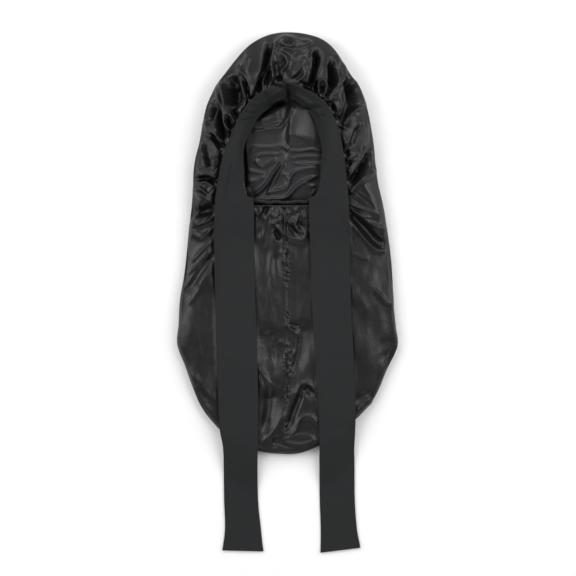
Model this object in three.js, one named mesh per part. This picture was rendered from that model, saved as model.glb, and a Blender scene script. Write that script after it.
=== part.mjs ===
// A long satin sleep bonnet for braids, lying on its back on a flat surface with its face opening up.
// +X is to the right seen from above, +Y is toward the crown and +Z is up. The surface is z = 0, and the
// origin lies on it under the middle of the whole outline. Millimetres.

import * as THREE from "three";

// Driving sizes.
const SATIN_WALL = 1.2;
const BAG_RAYS = 128;
const SEAM_GAP = 0.3;
const CROWN_TOP = 47;
const LOWER_TOP = 21;
const CROWN_RIM = 17;
const LOWER_RIM = 8;
const MOUTH_SINK = 9;
const MOUTH_SINK_SHARE = 0.3;
const FOLD_FADE_AT_MOUTH = 0.16;
const FOLD_FADE_AT_RIM = 0.12;
const FOLD_END_HEIGHT = 0.35;
const FOLD_END_RUN = 0.25;
const TOP_FULLNESS = 4;
const TIE_PRESS_MARGIN = 4;
const TIE_PRESS_FADE = 9;
const TIES_LIE_BELOW_Y = 150;
const CROWN_STARTS_Y = 60;
const CROWN_FULL_Y = 230;
const FLOOR_RUN = 26;
const EDGE_RUN = 30;

const TIE_THICKNESS = 2.2;
const TIE_LIFT = 0.9;
const TIE_EDGE_DROP = 0.5;
const TIE_SLOPE = 0.55;
const ROLL_DEPTH = 7;
const ROLL_STARTS = 0.3;
const BAND_DIP = 13;
const BAND_ENDS_Y = 135;
const BAND_FULL_Y = 215;

const CASING_HALF_DEPTH = 5.3;
const CASING_HALF_HEIGHT = 4.2;
const CASING_PUCKERS = 17;
const CASING_PUCKER_DEPTH = 0.7;

// Where the bag's outline and its face opening lie, one row for each ray of the gathers. A ray starts under
// the band, at the mouth, and ends on the outline, at the rim. Clockwise from the top middle.
const RAYS = [
  { rim: [-2, 376], mouth: [-1, 298] },
  { rim: [25, 374], mouth: [11, 297] },
  { rim: [50, 366], mouth: [24, 290] },
  { rim: [72, 350], mouth: [36, 282] },
  { rim: [86, 323], mouth: [46, 273] },
  { rim: [102, 298], mouth: [53, 264] },
  { rim: [114, 270], mouth: [59, 253] },
  { rim: [120, 243], mouth: [65, 239] },
  { rim: [125, 211], mouth: [70, 221] },
  { rim: [127, 188], mouth: [73, 204] },
  { rim: [131, 159], mouth: [76, 186] },
  { rim: [138, 128], mouth: [78, 169] },
  { rim: [144, 94], mouth: [79, 153] },
  { rim: [149, 59], mouth: [76, 140] },
  { rim: [152, 24], mouth: [67, 131] },
  { rim: [154, -17], mouth: [56, 126] },
  { rim: [157, -49], mouth: [44, 123] },
  { rim: [159.5, -78], mouth: [34, 122.5] },
  { rim: [144, -112], mouth: [24, 122.5] },
  { rim: [128, -149], mouth: [17, 122.5] },
  { rim: [107, -176], mouth: [9, 122.5] },
  { rim: [76, -204], mouth: [4, 122.5] },
  { rim: [44, -223], mouth: [1, 122.5] },
  { rim: [18, -233], mouth: [-2, 122.5] },
  { rim: [-9, -234], mouth: [-5, 122.5] },
  { rim: [-37, -231], mouth: [-9, 122.5] },
  { rim: [-67, -220], mouth: [-15, 122.5] },
  { rim: [-96, -201], mouth: [-22, 122.5] },
  { rim: [-123, -169], mouth: [-31, 122.5] },
  { rim: [-138, -136], mouth: [-40, 122.5] },
  { rim: [-149, -105], mouth: [-49, 123] },
  { rim: [-160, -75], mouth: [-59, 125] },
  { rim: [-158, -46], mouth: [-69, 127] },
  { rim: [-156, -11], mouth: [-79, 130] },
  { rim: [-150, 24], mouth: [-88, 135] },
  { rim: [-146, 59], mouth: [-94, 143] },
  { rim: [-143, 91], mouth: [-97, 156] },
  { rim: [-139, 123], mouth: [-96, 171] },
  { rim: [-137, 149], mouth: [-93, 187] },
  { rim: [-136, 174], mouth: [-90, 202] },
  { rim: [-133, 195], mouth: [-86, 215] },
  { rim: [-127, 218], mouth: [-80, 227] },
  { rim: [-122, 247], mouth: [-74, 240] },
  { rim: [-116, 272], mouth: [-68, 250] },
  { rim: [-104, 297], mouth: [-61, 261] },
  { rim: [-89, 318], mouth: [-52, 271] },
  { rim: [-72, 340], mouth: [-42, 280] },
  { rim: [-53, 359], mouth: [-31, 289] },
  { rim: [-28, 372], mouth: [-18, 295] },
];

// Rows across a ray. The front's lie from the mouth, as a share of the way to the rounded edge. The edge's lie
// in from the rim, first on the front and then, past the rim, on the back.
const FRONT_ROWS = [0, 0.12, 0.25, 0.39, 0.54, 0.7, 0.86, 1];
const EDGE_INSETS = { front: [19, 10, 4, 1], back: [0, 4, 11, FLOOR_RUN] };

// The main folds of the front, each a ridge, or a valley where its height is below zero. It runs from one
// point to another, and bow is how far its middle stands off the straight line, to the left of its way.
const FOLDS = [
  { name: "top swirl, left", from: [-20, 306], to: [-16, 362], bow: -4, height: 8, half: 8 },
  { name: "top swirl, head", from: [-16, 362], to: [30, 356], bow: 7, height: 7, half: 7 },
  { name: "top swirl, right", from: [30, 356], to: [22, 312], bow: -6, height: 6, half: 8 },
  { name: "deep valley left of the swirl", from: [-37, 310], to: [-27, 366], bow: -3, height: -9, half: 8 },
  { name: "left gather 1", from: [-52, 290], to: [-62, 348], bow: -7, height: 7, half: 9 },
  { name: "left pocket 1", from: [-70, 280], to: [-88, 304], bow: 0, height: -7, half: 8 },
  { name: "left gather 2", from: [-80, 248], to: [-97, 306], bow: -5, height: 6, half: 8 },
  { name: "left gather 3", from: [-93, 230], to: [-104, 282], bow: 7, height: 6, half: 8 },
  { name: "left gather 4", from: [-88, 216], to: [-121, 252], bow: 0, height: 6, half: 8 },
  { name: "left gather 5", from: [-98, 188], to: [-122, 222], bow: 3, height: 6, half: 8 },
  { name: "left valley under gather 5", from: [-103, 176], to: [-128, 190], bow: 0, height: -6, half: 7 },
  { name: "left gather 6", from: [-100, 168], to: [-134, 168], bow: -5, height: 6, half: 8 },
  { name: "left gather 7", from: [-106, 132], to: [-132, 148], bow: 0, height: 5, half: 8 },
  { name: "left gather 8", from: [-108, 106], to: [-138, 106], bow: 3, height: 5, half: 8 },
  { name: "left sweep 1", from: [-112, 48], to: [-148, 6], bow: 3, height: 5, half: 9 },
  { name: "left sweep 2", from: [-112, 20], to: [-150, -18], bow: 2, height: 5, half: 9 },
  { name: "left lower pocket", from: [-127, -142], to: [-110, -160], bow: 0, height: -4, half: 9 },
  { name: "right valley of the swirl", from: [34, 296], to: [42, 350], bow: 3, height: -8, half: 6 },
  { name: "right loop", from: [46, 292], to: [54, 322], bow: -5, height: 7, half: 8 },
  { name: "right valley 2", from: [62, 290], to: [72, 340], bow: 8, height: -8, half: 7 },
  { name: "right gather 3", from: [78, 252], to: [72, 340], bow: -9, height: 7, half: 8 },
  { name: "right valley 4", from: [90, 268], to: [95, 306], bow: 0, height: -7, half: 9 },
  { name: "right gather 5", from: [86, 210], to: [112, 264], bow: -5, height: 7, half: 9 },
  { name: "right valley 6", from: [88, 182], to: [126, 190], bow: 0, height: -6, half: 9 },
  { name: "right gather 7", from: [90, 158], to: [124, 158], bow: 0, height: 6, half: 9 },
  { name: "right sweep 1", from: [92, 124], to: [142, 96], bow: -3, height: 5, half: 9 },
  { name: "right sweep 2", from: [94, 4], to: [112, -26], bow: 0, height: 5, half: 9 },
  { name: "right sweep 3", from: [124, 6], to: [150, -16], bow: 0, height: 5, half: 8 },
  { name: "right lower sweep", from: [100, -176], to: [122, -158], bow: 0, height: 4, half: 9 },
  { name: "middle ruffle 1", from: [-44, 118], to: [-44, 90], bow: 0, height: 4, half: 6 },
  { name: "middle ruffle 2", from: [-22, 118], to: [-16, 80], bow: 0, height: 5, half: 7 },
  { name: "middle ruffle 3", from: [14, 116], to: [20, 78], bow: 4, height: 5, half: 8 },
  { name: "middle seam", from: [-1, 118], to: [-1, -222], bow: 0, height: -3, half: 7 },
  { name: "middle crease, upper left", from: [-40, 60], to: [-27, -2], bow: 0, height: 4, half: 8 },
  { name: "middle crease, left", from: [-36, -62], to: [-27, -106], bow: 0, height: 4, half: 8 },
  { name: "middle crease, right", from: [35, -46], to: [12, -122], bow: 0, height: 5, half: 9 },
  { name: "middle crease, low", from: [-8, -178], to: [-31, -214], bow: 0, height: 4, half: 8 },
  { name: "bottom seam roll", from: [-44, -222], to: [38, -222], bow: 2, height: -2, half: 5 },
];
const FOLD_STEPS = 10;

// The flat ties, a row for each section across the strip, from the seam at the top middle of the opening to
// the hem. outer and inner are the edges seen from above. What is narrower than the strip is rolled under.
const TIE_LEFT = [
  { outer: [-1.3, 305.8], inner: [-1.3, 279.8] },
  { outer: [-12.3, 304.9], inner: [-9.5, 279.6] },
  { outer: [-21.9, 302.3], inner: [-17.4, 276.2] },
  { outer: [-35.8, 293], inner: [-28.3, 268.2] },
  { outer: [-54.4, 279.1], inner: [-41.3, 255.9] },
  { outer: [-70.6, 255.9], inner: [-52.2, 238.5] },
  { outer: [-81.1, 232.7], inner: [-59.4, 222.6] },
  { outer: [-91.3, 209.5], inner: [-63.8, 205.2] },
  { outer: [-97.4, 186.3], inner: [-64.1, 183.4] },
  { outer: [-101.5, 163.1], inner: [-63.8, 163.1] },
  { outer: [-104.3, 145.7], inner: [-62, 147.2] },
  { outer: [-105.9, 132], inner: [-54.5, 133] },
  { outer: [-106.8, 110], inner: [-48.4, 110] },
  { outer: [-107, 60], inner: [-48.1, 60] },
  { outer: [-105.5, -9], inner: [-46.6, -9] },
  { outer: [-103.5, -80], inner: [-44.2, -80] },
  { outer: [-101.8, -150], inner: [-42.4, -150] },
  { outer: [-99.5, -196], inner: [-42.2, -196] },
  { outer: [-94.8, -224], inner: [-42.9, -224] },
  { outer: [-93.5, -250], inner: [-43.3, -250] },
  { outer: [-92.8, -300], inner: [-42.7, -300] },
  { outer: [-91.5, -341.5], inner: [-38.7, -341.5] },
  { outer: [-95.3, -373.8], inner: [-35.2, -375.3] },
];
const TIE_RIGHT = [
  { outer: [-0.9, 305.8], inner: [-0.9, 279.8] },
  { outer: [12.3, 302.9], inner: [11.5, 277.5] },
  { outer: [26.8, 295.4], inner: [22.5, 269] },
  { outer: [43.1, 286.1], inner: [33.4, 259.6] },
  { outer: [57, 274.5], inner: [40.6, 245.8] },
  { outer: [66.3, 258.2], inner: [44.9, 232.7] },
  { outer: [75.5, 235.6], inner: [49.3, 216.8] },
  { outer: [81.1, 209.5], inner: [50, 202.3] },
  { outer: [84.5, 186.3], inner: [49, 184.9] },
  { outer: [86.9, 163.1], inner: [47.1, 163.1] },
  { outer: [88.6, 145.7], inner: [42.8, 147.2] },
  { outer: [89.8, 132], inner: [34.6, 133] },
  { outer: [90.6, 110], inner: [31.2, 110] },
  { outer: [91.4, 60], inner: [32.7, 60] },
  { outer: [93.1, -9], inner: [34.6, -9] },
  { outer: [96.4, -80], inner: [38.9, -80] },
  { outer: [99.7, -150], inner: [43.9, -150] },
  { outer: [99.4, -196], inner: [46, -196] },
  { outer: [98.3, -224], inner: [46.3, -224] },
  { outer: [98.1, -250], inner: [46.1, -250] },
  { outer: [98.4, -300], inner: [46.7, -300] },
  { outer: [101.4, -341.5], inner: [48.1, -341.5] },
  { outer: [106.6, -369.9], inner: [48, -377.1] },
];
const TIE_SECTIONS = 46;
const TIE_ACROSS = [0, 0.12, 0.5, 0.88, 1];

// Small helpers.
const clamp01 = (value) => Math.min(1, Math.max(0, value));
const smooth = (value) => clamp01(value) ** 2 * (3 - 2 * clamp01(value));
const mix = (a, b, share) => a + (b - a) * share;
const plan = ([x, y]) => new THREE.Vector3(x, y, 0);

// How much a place belongs to the puffed crown, from 0 in the lower bag to 1.
const crownShare = (y) => smooth((y - CROWN_STARTS_Y) / (CROWN_FULL_Y - CROWN_STARTS_Y));

// A fold's middle line, as points of a bowed curve.
function foldLine({ from, to, bow }) {
  const start = plan(from);
  const end = plan(to);
  const side = new THREE.Vector3(start.y - end.y, end.x - start.x, 0).normalize();
  const middle = start.clone().add(end).multiplyScalar(0.5).addScaledVector(side, 2 * bow);
  return new THREE.QuadraticBezierCurve3(start, middle, end).getPoints(FOLD_STEPS);
}
const FOLD_LINES = FOLDS.map(foldLine);

// How far a point lies from a fold's line, and how far along it, from 0 to 1.
function distanceToLine(point, line) {
  let best = { distance: Infinity, along: 0 };
  for (let step = 0; step + 1 < line.length; step += 1) {
    const segment = new THREE.Line3(line[step], line[step + 1]);
    const share = segment.closestPointToPointParameter(point, true);
    const distance = segment.at(share, new THREE.Vector3()).distanceTo(point);
    if (distance < best.distance) best = { distance, along: (step + share) / (line.length - 1) };
  }
  return best;
}

// What all folds together add to the height of the front at a point of the plan.
function foldHeight(point) {
  return FOLDS.reduce((sum, { height, half }, index) => {
    const { distance, along } = distanceToLine(point, FOLD_LINES[index]);
    const inside = smooth(along / FOLD_END_RUN) * smooth((1 - along) / FOLD_END_RUN);
    return sum + height * mix(FOLD_END_HEIGHT, 1, inside) * Math.exp(-((distance / half) ** 2));
  }, 0);
}

// 1 away from the flat ties that press the bag smooth, 0 under them.
function clearOfTies(point) {
  const fade = (rows) => {
    const last = rows.length - 1;
    for (let row = 0; row < last; row += 1) {
      const [high, low] = [rows[row], rows[row + 1]];
      if (point.y <= high.outer[1] && point.y > low.outer[1] && high.outer[1] < TIES_LIE_BELOW_Y) {
        const share = (high.outer[1] - point.y) / (high.outer[1] - low.outer[1]);
        const edges = [mix(high.outer[0], low.outer[0], share), mix(high.inner[0], low.inner[0], share)];
        const middle = (edges[0] + edges[1]) / 2;
        const reach = Math.abs(point.x - middle) - Math.abs(edges[0] - edges[1]) / 2;
        return smooth((reach + TIE_PRESS_MARGIN) / TIE_PRESS_FADE);
      }
    }
    return 1;
  };
  return Math.min(fade(TIE_LEFT), fade(TIE_RIGHT));
}

// The bag's outer skin: rows from the mouth over the front to the rim, and in under the back to the flat part.
function bagSkin() {
  const curveOf = (key) => {
    const corners = RAYS.map((ray) => plan(ray[key]));
    return new THREE.CatmullRomCurve3(corners, true, "catmullrom", 0.5);
  };
  const rims = curveOf("rim");
  const mouths = curveOf("mouth");
  const frontPoint = (mouth, rim, share) => {
    const point = mouth.clone().lerp(rim, share);
    const crown = crownShare(point.y);
    const top = mix(LOWER_TOP, CROWN_TOP, crown);
    const rimHeight = mix(LOWER_RIM, CROWN_RIM, crown);
    const sink = MOUTH_SINK * crown * (1 - smooth(share / MOUTH_SINK_SHARE));
    const fade = smooth(share / FOLD_FADE_AT_MOUTH) * smooth((1 - share) / FOLD_FADE_AT_RIM);
    const dome = (top - sink - rimHeight) * Math.sqrt(1 - share ** TOP_FULLNESS);
    point.z = rimHeight + dome + foldHeight(point) * fade * clearOfTies(point);
    return point;
  };
  const backPoint = (mouth, rim, inset) => {
    const inward = mouth.clone().sub(rim).normalize();
    const point = rim.clone().addScaledVector(inward, inset);
    point.z = mix(LOWER_RIM, CROWN_RIM, crownShare(rim.y)) * (1 - inset / FLOOR_RUN) ** 2;
    return point;
  };
  const rays = Array.from({ length: BAG_RAYS }, (_, ray) => {
    return { mouth: mouths.getPoint(ray / BAG_RAYS), rim: rims.getPoint(ray / BAG_RAYS) };
  });
  const atInset = (build) => (inset) => rays.map(({ mouth, rim }) => build(mouth, rim, inset));
  const front = FRONT_ROWS.map((share) => rays.map(({ mouth, rim }) => {
    return frontPoint(mouth, rim, share * (1 - EDGE_RUN / mouth.distanceTo(rim)));
  }));
  const edge = EDGE_INSETS.front.map(atInset((mouth, rim, inset) => {
    return frontPoint(mouth, rim, 1 - inset / mouth.distanceTo(rim));
  }));
  const back = EDGE_INSETS.back.map(atInset(backPoint));
  return [...front, ...edge, ...back];
}

// Triangles of a grid whose rows are closed loops. The rows run outward and then down, as the bag's do.
function loopTriangles(rowCount, loopCount) {
  const triangles = [];
  for (let row = 0; row + 1 < rowCount; row += 1) {
    for (let step = 0; step < loopCount; step += 1) {
      const next = (step + 1) % loopCount;
      const [a, b] = [row * loopCount + step, row * loopCount + next];
      const [c, d] = [b + loopCount, a + loopCount];
      triangles.push(a, b, c, a, c, d);
    }
  }
  return triangles;
}

function reversed(triangles) {
  const turned = [];
  for (let corner = 0; corner < triangles.length; corner += 3) {
    turned.push(triangles[corner], triangles[corner + 2], triangles[corner + 1]);
  }
  return turned;
}

function geometryOf(points, triangles) {
  const geometry = new THREE.BufferGeometry();
  geometry.setFromPoints(points);
  geometry.setIndex(triangles);
  geometry.computeVertexNormals();
  return geometry;
}

// The flat middle of the back, as triangles of the last loop of points.
function floorTriangles(points) {
  const loop = points.slice(-BAG_RAYS);
  const flat = loop.map((point) => new THREE.Vector2(point.x, point.y));
  const faces = THREE.ShapeUtils.triangulateShape(flat, []);
  const triangles = faces.flat().map((corner) => points.length - BAG_RAYS + corner);
  const [a, b, c] = triangles.slice(0, 3).map((corner) => points[corner]);
  const facesUp = b.clone().sub(a).cross(c.clone().sub(a)).z > 0;
  return facesUp ? reversed(triangles) : triangles;
}

// The satin, as three shells: the front with the crown, the flat back, and the rounded edge between them.
// Each is the outer skin, the same skin set in by the wall, and the edges that join the two. Where two shells
// meet, both stop short by half the gap.
function satinShells() {
  const rows = bagSkin();
  const outer = rows.flat();
  const skin = geometryOf(outer, [...loopTriangles(rows.length, BAG_RAYS), ...floorTriangles(outer)]);
  const normals = skin.getAttribute("normal");
  const inner = outer.map((point, index) => {
    const normal = new THREE.Vector3().fromBufferAttribute(normals, index);
    return point.clone().addScaledVector(normal, -SATIN_WALL);
  });
  const outward = outer.slice(0, BAG_RAYS).map((mouth, ray) => {
    return outer[ray + BAG_RAYS].clone().sub(mouth).setZ(0).normalize();
  });
  const shell = ({ first, last, startGap, endGap, floored }) => {
    const count = (last - first + 1) * BAG_RAYS;
    const moved = (point, index) => {
      const row = first + Math.floor(index / BAG_RAYS);
      const shift = (row === first ? startGap : 0) + (row === last ? endGap : 0);
      return point.clone().addScaledVector(outward[index % BAG_RAYS], shift);
    };
    const from = first * BAG_RAYS;
    const outside = outer.slice(from, from + count).map(moved);
    const inside = inner.slice(from, from + count).map(moved);
    const floor = floored ? floorTriangles(outside) : [];
    const faces = [...loopTriangles(last - first + 1, BAG_RAYS), ...floor];
    const insideFaces = reversed(faces).map((index) => index + count);
    const rim = (row) => {
      const triangles = [];
      for (let step = 0; step < BAG_RAYS; step += 1) {
        const next = (step + 1) % BAG_RAYS;
        const [a, b] = [row * BAG_RAYS + step, row * BAG_RAYS + next];
        triangles.push(a, count + a, b, b, count + a, count + b);
      }
      return triangles;
    };
    const rims = floored ? rim(0) : [...rim(0), ...reversed(rim(last - first))];
    return geometryOf([...outside, ...inside], [...faces, ...insideFaces, ...rims]);
  };
  const gap = SEAM_GAP / 2;
  const edgeStarts = FRONT_ROWS.length - 1;
  const edgeEnds = rows.length - 1;
  return {
    front: shell({ first: 0, last: edgeStarts, startGap: 0, endGap: -gap, floored: false }),
    edge: shell({ first: edgeStarts, last: edgeEnds, startGap: gap, endGap: gap, floored: false }),
    back: shell({ first: edgeEnds, last: edgeEnds, startGap: -gap, endGap: 0, floored: true }),
  };
}

// The height of the bag under a point of the plan, or of the surface where there is no bag.
const DOWN = new THREE.Vector3(0, 0, -1);
function heightUnder(bag, x, y) {
  const ray = new THREE.Raycaster(new THREE.Vector3(x, y, 2 * CROWN_TOP), DOWN);
  const hit = ray.intersectObjects(bag)[0];
  return hit ? hit.point.z : 0;
}

// A list of heights along a strip, raised so that none falls away from its neighbours faster than a slope.
function slopeLimited(heights, steps) {
  const limited = [...heights];
  for (let index = 1; index < limited.length; index += 1) {
    limited[index] = Math.max(limited[index], limited[index - 1] - TIE_SLOPE * steps[index - 1]);
  }
  for (let index = limited.length - 2; index >= 0; index -= 1) {
    limited[index] = Math.max(limited[index], limited[index + 1] - TIE_SLOPE * steps[index]);
  }
  return limited;
}

// The height of a strip's underside for each of its sections: above all that the bag reaches near it.
function stripHeights(bag, outers, inners) {
  const raw = outers.map((outer, index) => {
    const inner = inners[index];
    const across = TIE_ACROSS.map((share) => outer.clone().lerp(inner, share));
    return Math.max(...across.map((point) => heightUnder(bag, point.x, point.y)));
  });
  const steps = outers.slice(1).map((outer, index) => outer.distanceTo(outers[index]));
  const widened = raw.map((height, index) => Math.max(height, raw[index - 1] ?? 0, raw[index + 1] ?? 0));
  const onBag = slopeLimited(widened, steps);
  return onBag.map((height, index) => (raw[index] > 0 || height > TIE_LIFT ? height + TIE_LIFT : 0));
}

// One flat tie with its half of the band round the opening. There the strip dips into the opening and the
// rest of its width is rolled under, so that its inner edge is thick.
function tie(bag, table) {
  const edge = (key) => {
    const curve = new THREE.CatmullRomCurve3(table.map((row) => plan(row[key])), false, "catmullrom", 0.5);
    return Array.from({ length: TIE_SECTIONS }, (_, index) => curve.getPoint(index / (TIE_SECTIONS - 1)));
  };
  const [outers, inners] = [edge("outer"), edge("inner")];
  const heights = stripHeights(bag, outers, inners);
  const points = [];
  outers.forEach((outer, index) => {
    const inner = inners[index];
    const band = smooth((outer.y - BAND_ENDS_Y) / (BAND_FULL_Y - BAND_ENDS_Y));
    const top = TIE_ACROSS.map((share) => {
      const point = outer.clone().lerp(inner, share);
      const edgeDrop = TIE_EDGE_DROP * (share === 0 || share === 1 ? 1 : 0);
      point.z = heights[index] + TIE_THICKNESS - edgeDrop - BAND_DIP * band * share ** 2;
      return point;
    });
    const bottom = top.map((point, place) => {
      const share = TIE_ACROSS[place];
      const roll = ROLL_DEPTH * band * smooth((share - ROLL_STARTS) / (1 - ROLL_STARTS));
      const thickness = TIE_THICKNESS + roll;
      const edgeRise = share === 0 || share === 1 ? TIE_EDGE_DROP : 0;
      return point.clone().setZ(Math.max(0, point.z - thickness + edgeRise));
    });
    points.push(...top, ...bottom.reverse());
  });
  return tubeGeometry(points, 2 * TIE_ACROSS.length);
}

// A closed tube of loops of the same number of points, capped at both ends and facing out.
function tubeGeometry(points, loopCount) {
  const rowCount = points.length / loopCount;
  const sides = loopTriangles(rowCount, loopCount);
  const half = loopCount / 2;
  const caps = [];
  for (let place = 0; place + 1 < half; place += 1) {
    const [a, b] = [place, place + 1];
    const [c, d] = [loopCount - 1 - b, loopCount - 1 - a];
    const last = (rowCount - 1) * loopCount;
    caps.push(a, c, b, a, d, c);
    caps.push(last + a, last + b, last + c, last + a, last + c, last + d);
  }
  const triangles = [...sides, ...caps];
  const solid = geometryOf(points, triangles);
  return signedVolume(solid) > 0 ? solid : geometryOf(points, reversed(triangles));
}

function signedVolume(geometry) {
  const place = geometry.getAttribute("position");
  const index = geometry.getIndex();
  const corner = (number) => new THREE.Vector3().fromBufferAttribute(place, index.getX(number));
  let volume = 0;
  for (let first = 0; first < index.count; first += 3) {
    volume += corner(first).dot(corner(first + 1).cross(corner(first + 2))) / 6;
  }
  return volume;
}

// The ruched casing: an oval tube across the nape, puckered by the elastic inside, its ends turned up to the
// band.
const CASING_PATH = [
  { at: [-52.5, 133], height: 24.5 },
  { at: [-47, 129.6], height: 24.3 },
  { at: [-36, 128.4], height: 24 },
  { at: [-9, 128.3], height: 23.5 },
  { at: [18, 128.4], height: 24 },
  { at: [30, 129.6], height: 24.3 },
  { at: [36, 133], height: 24.5 },
];
const CASING_SECTIONS = 52;
const CASING_SIDES = 8;
function napeCasing() {
  const route = CASING_PATH.map(({ at, height }) => plan(at).setZ(height));
  const curve = new THREE.CatmullRomCurve3(route, false, "catmullrom", 0.5);
  const points = [];
  for (let section = 0; section <= CASING_SECTIONS; section += 1) {
    const share = section / CASING_SECTIONS;
    const center = curve.getPoint(share);
    const forward = curve.getTangent(share);
    const side = new THREE.Vector3(forward.y, -forward.x, 0).normalize();
    const dip = (1 + Math.cos(2 * Math.PI * CASING_PUCKERS * share)) / 2;
    const pucker = 1 - (CASING_PUCKER_DEPTH / CASING_HALF_HEIGHT) * dip;
    for (let corner = 0; corner < CASING_SIDES; corner += 1) {
      const angle = (2 * Math.PI * corner) / CASING_SIDES;
      const point = center.clone().addScaledVector(side, CASING_HALF_DEPTH * Math.cos(angle) * pucker);
      point.z += CASING_HALF_HEIGHT * Math.sin(angle) * pucker;
      points.push(point);
    }
  }
  return tubeGeometry(points, CASING_SIDES);
}

// The assembly.
const SATIN = { color: 0x17171a, roughness: 0.38, metalness: 0 };
const JERSEY = { color: 0x1b1d20, roughness: 0.9, metalness: 0 };
function named(name, geometry, look) {
  const mesh = new THREE.Mesh(geometry, new THREE.MeshStandardMaterial(look));
  mesh.name = name;
  return mesh;
}

const bonnet = new THREE.Group();
const satin = satinShells();
const bag = [
  named("satin_front", satin.front, SATIN),
  named("satin_edge", satin.edge, SATIN),
  named("satin_back", satin.back, SATIN),
];
bonnet.add(...bag);
bonnet.add(named("nape_casing", napeCasing(), SATIN));
bonnet.add(named("tie_left", tie(bag, TIE_LEFT), JERSEY));
bonnet.add(named("tie_right", tie(bag, TIE_RIGHT), JERSEY));

export default bonnet;
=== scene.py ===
import math
from collections import namedtuple
from functools import partial

import bpy
import numpy as np
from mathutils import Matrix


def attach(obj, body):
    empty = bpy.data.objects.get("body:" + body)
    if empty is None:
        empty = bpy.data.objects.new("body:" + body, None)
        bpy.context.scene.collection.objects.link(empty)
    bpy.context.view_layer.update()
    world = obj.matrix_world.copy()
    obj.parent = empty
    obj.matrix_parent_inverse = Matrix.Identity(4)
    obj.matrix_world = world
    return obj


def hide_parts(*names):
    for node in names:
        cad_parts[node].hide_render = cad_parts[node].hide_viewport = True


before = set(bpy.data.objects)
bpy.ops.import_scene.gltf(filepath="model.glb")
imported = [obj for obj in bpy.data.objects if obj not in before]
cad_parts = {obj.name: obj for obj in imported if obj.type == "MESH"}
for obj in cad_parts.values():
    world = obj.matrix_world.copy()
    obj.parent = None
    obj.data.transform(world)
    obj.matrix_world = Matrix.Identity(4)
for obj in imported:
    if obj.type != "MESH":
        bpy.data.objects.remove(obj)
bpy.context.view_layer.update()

MM = 0.001
FULL_TURN = 2 * math.pi
TINY = 1e-9

# Sizes, in millimetres. The rims are where the cloth turns under, a little higher than the part's.
SATIN_THICK = 0.7
LOWER_TOP, CROWN_TOP = 21, 47
LOWER_RIM, CROWN_RIM = 11, 22
CROWN_STARTS_Y, CROWN_FULL_Y = 60, 230
FLOOR_RUN = 26
TIE_THICK = 2.2
BAND_ENDS_Y, BAND_FULL_Y = 135, 215
TIES_LIE_BELOW_Y = 150

# The photograph's frame: how a pixel of its 576 by 576 lies in the part's frame.
PHOTO_SIDE = 576
PIXEL_MM = 1.45
PHOTO_X0, PHOTO_Y0 = 287.5, 292.5
CAMERA_HEIGHT_MM = 3000
CAMERA_OVER = np.array([0.7, 6.5])


def photo(points):
    """Places on the plan in millimetres, from (right, down) in the photograph's pixels."""
    right_down = np.asarray(points, float)
    x = (right_down[..., 0] - PHOTO_X0) * PIXEL_MM
    y = (PHOTO_Y0 - right_down[..., 1]) * PIXEL_MM
    return np.stack([x, y], axis=-1)


def at_level(plan, level):
    """The plan of what appears at these places in the photograph, when it lies at this height."""
    nearer = np.asarray(level) / CAMERA_HEIGHT_MM
    return CAMERA_OVER + (np.asarray(plan) - CAMERA_OVER) * (1 - nearer)


# The bag's rays on the plan, clockwise from the top middle. Each runs from the mouth, which the band covers,
# to the rim, which is on the outline.
Ray = namedtuple("Ray", "rim mouth")
RAYS = [Ray(*row) for row in (
    ((-2, 376), (-1, 298)),
    ((25, 374), (11, 297)),
    ((50, 366), (24, 290)),
    ((69, 350), (36, 282)),
    ((86, 323), (46, 273)),
    ((102, 298), (53, 264)),
    ((114, 270), (59, 253)),
    ((120, 243), (65, 239)),
    ((125, 211), (70, 221)),
    ((127, 188), (73, 204)),
    ((131, 159), (76, 186)),
    ((138, 128), (78, 169)),
    ((144, 94), (79, 153)),
    ((149, 59), (76, 140)),
    ((152, 24), (67, 131)),
    ((154, -17), (56, 127)),
    ((157, -49), (44, 125.5)),
    ((159.5, -78), (34, 125.5)),
    ((144, -112), (24, 125.5)),
    ((128, -149), (17, 125.5)),
    ((107, -176), (9, 125.5)),
    ((76, -204), (4, 125.5)),
    ((44, -223), (1, 125.5)),
    ((18, -233), (-2, 125.5)),
    ((-9, -234), (-5, 125.5)),
    ((-37, -231), (-9, 125.5)),
    ((-67, -220), (-15, 125.5)),
    ((-96, -201), (-22, 125.5)),
    ((-123, -169), (-31, 125.5)),
    ((-138, -136), (-40, 125.5)),
    ((-149, -105), (-49, 125.5)),
    ((-160, -75), (-59, 126.5)),
    ((-158, -46), (-69, 127)),
    ((-156, -11), (-79, 130)),
    ((-150, 24), (-88, 135)),
    ((-146, 59), (-94, 143)),
    ((-143, 91), (-97, 156)),
    ((-139, 123), (-96, 171)),
    ((-137, 149), (-93, 187)),
    ((-136, 174), (-90, 202)),
    ((-133, 195), (-86, 215)),
    ((-127, 218), (-80, 227)),
    ((-122, 247), (-74, 240)),
    ((-116, 272), (-68, 250)),
    ((-104, 297), (-61, 261)),
    ((-89, 318), (-52, 271)),
    ((-72, 340), (-42, 280)),
    ((-53, 359), (-31, 289)),
    ((-28, 372), (-18, 295)),
)]

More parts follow.
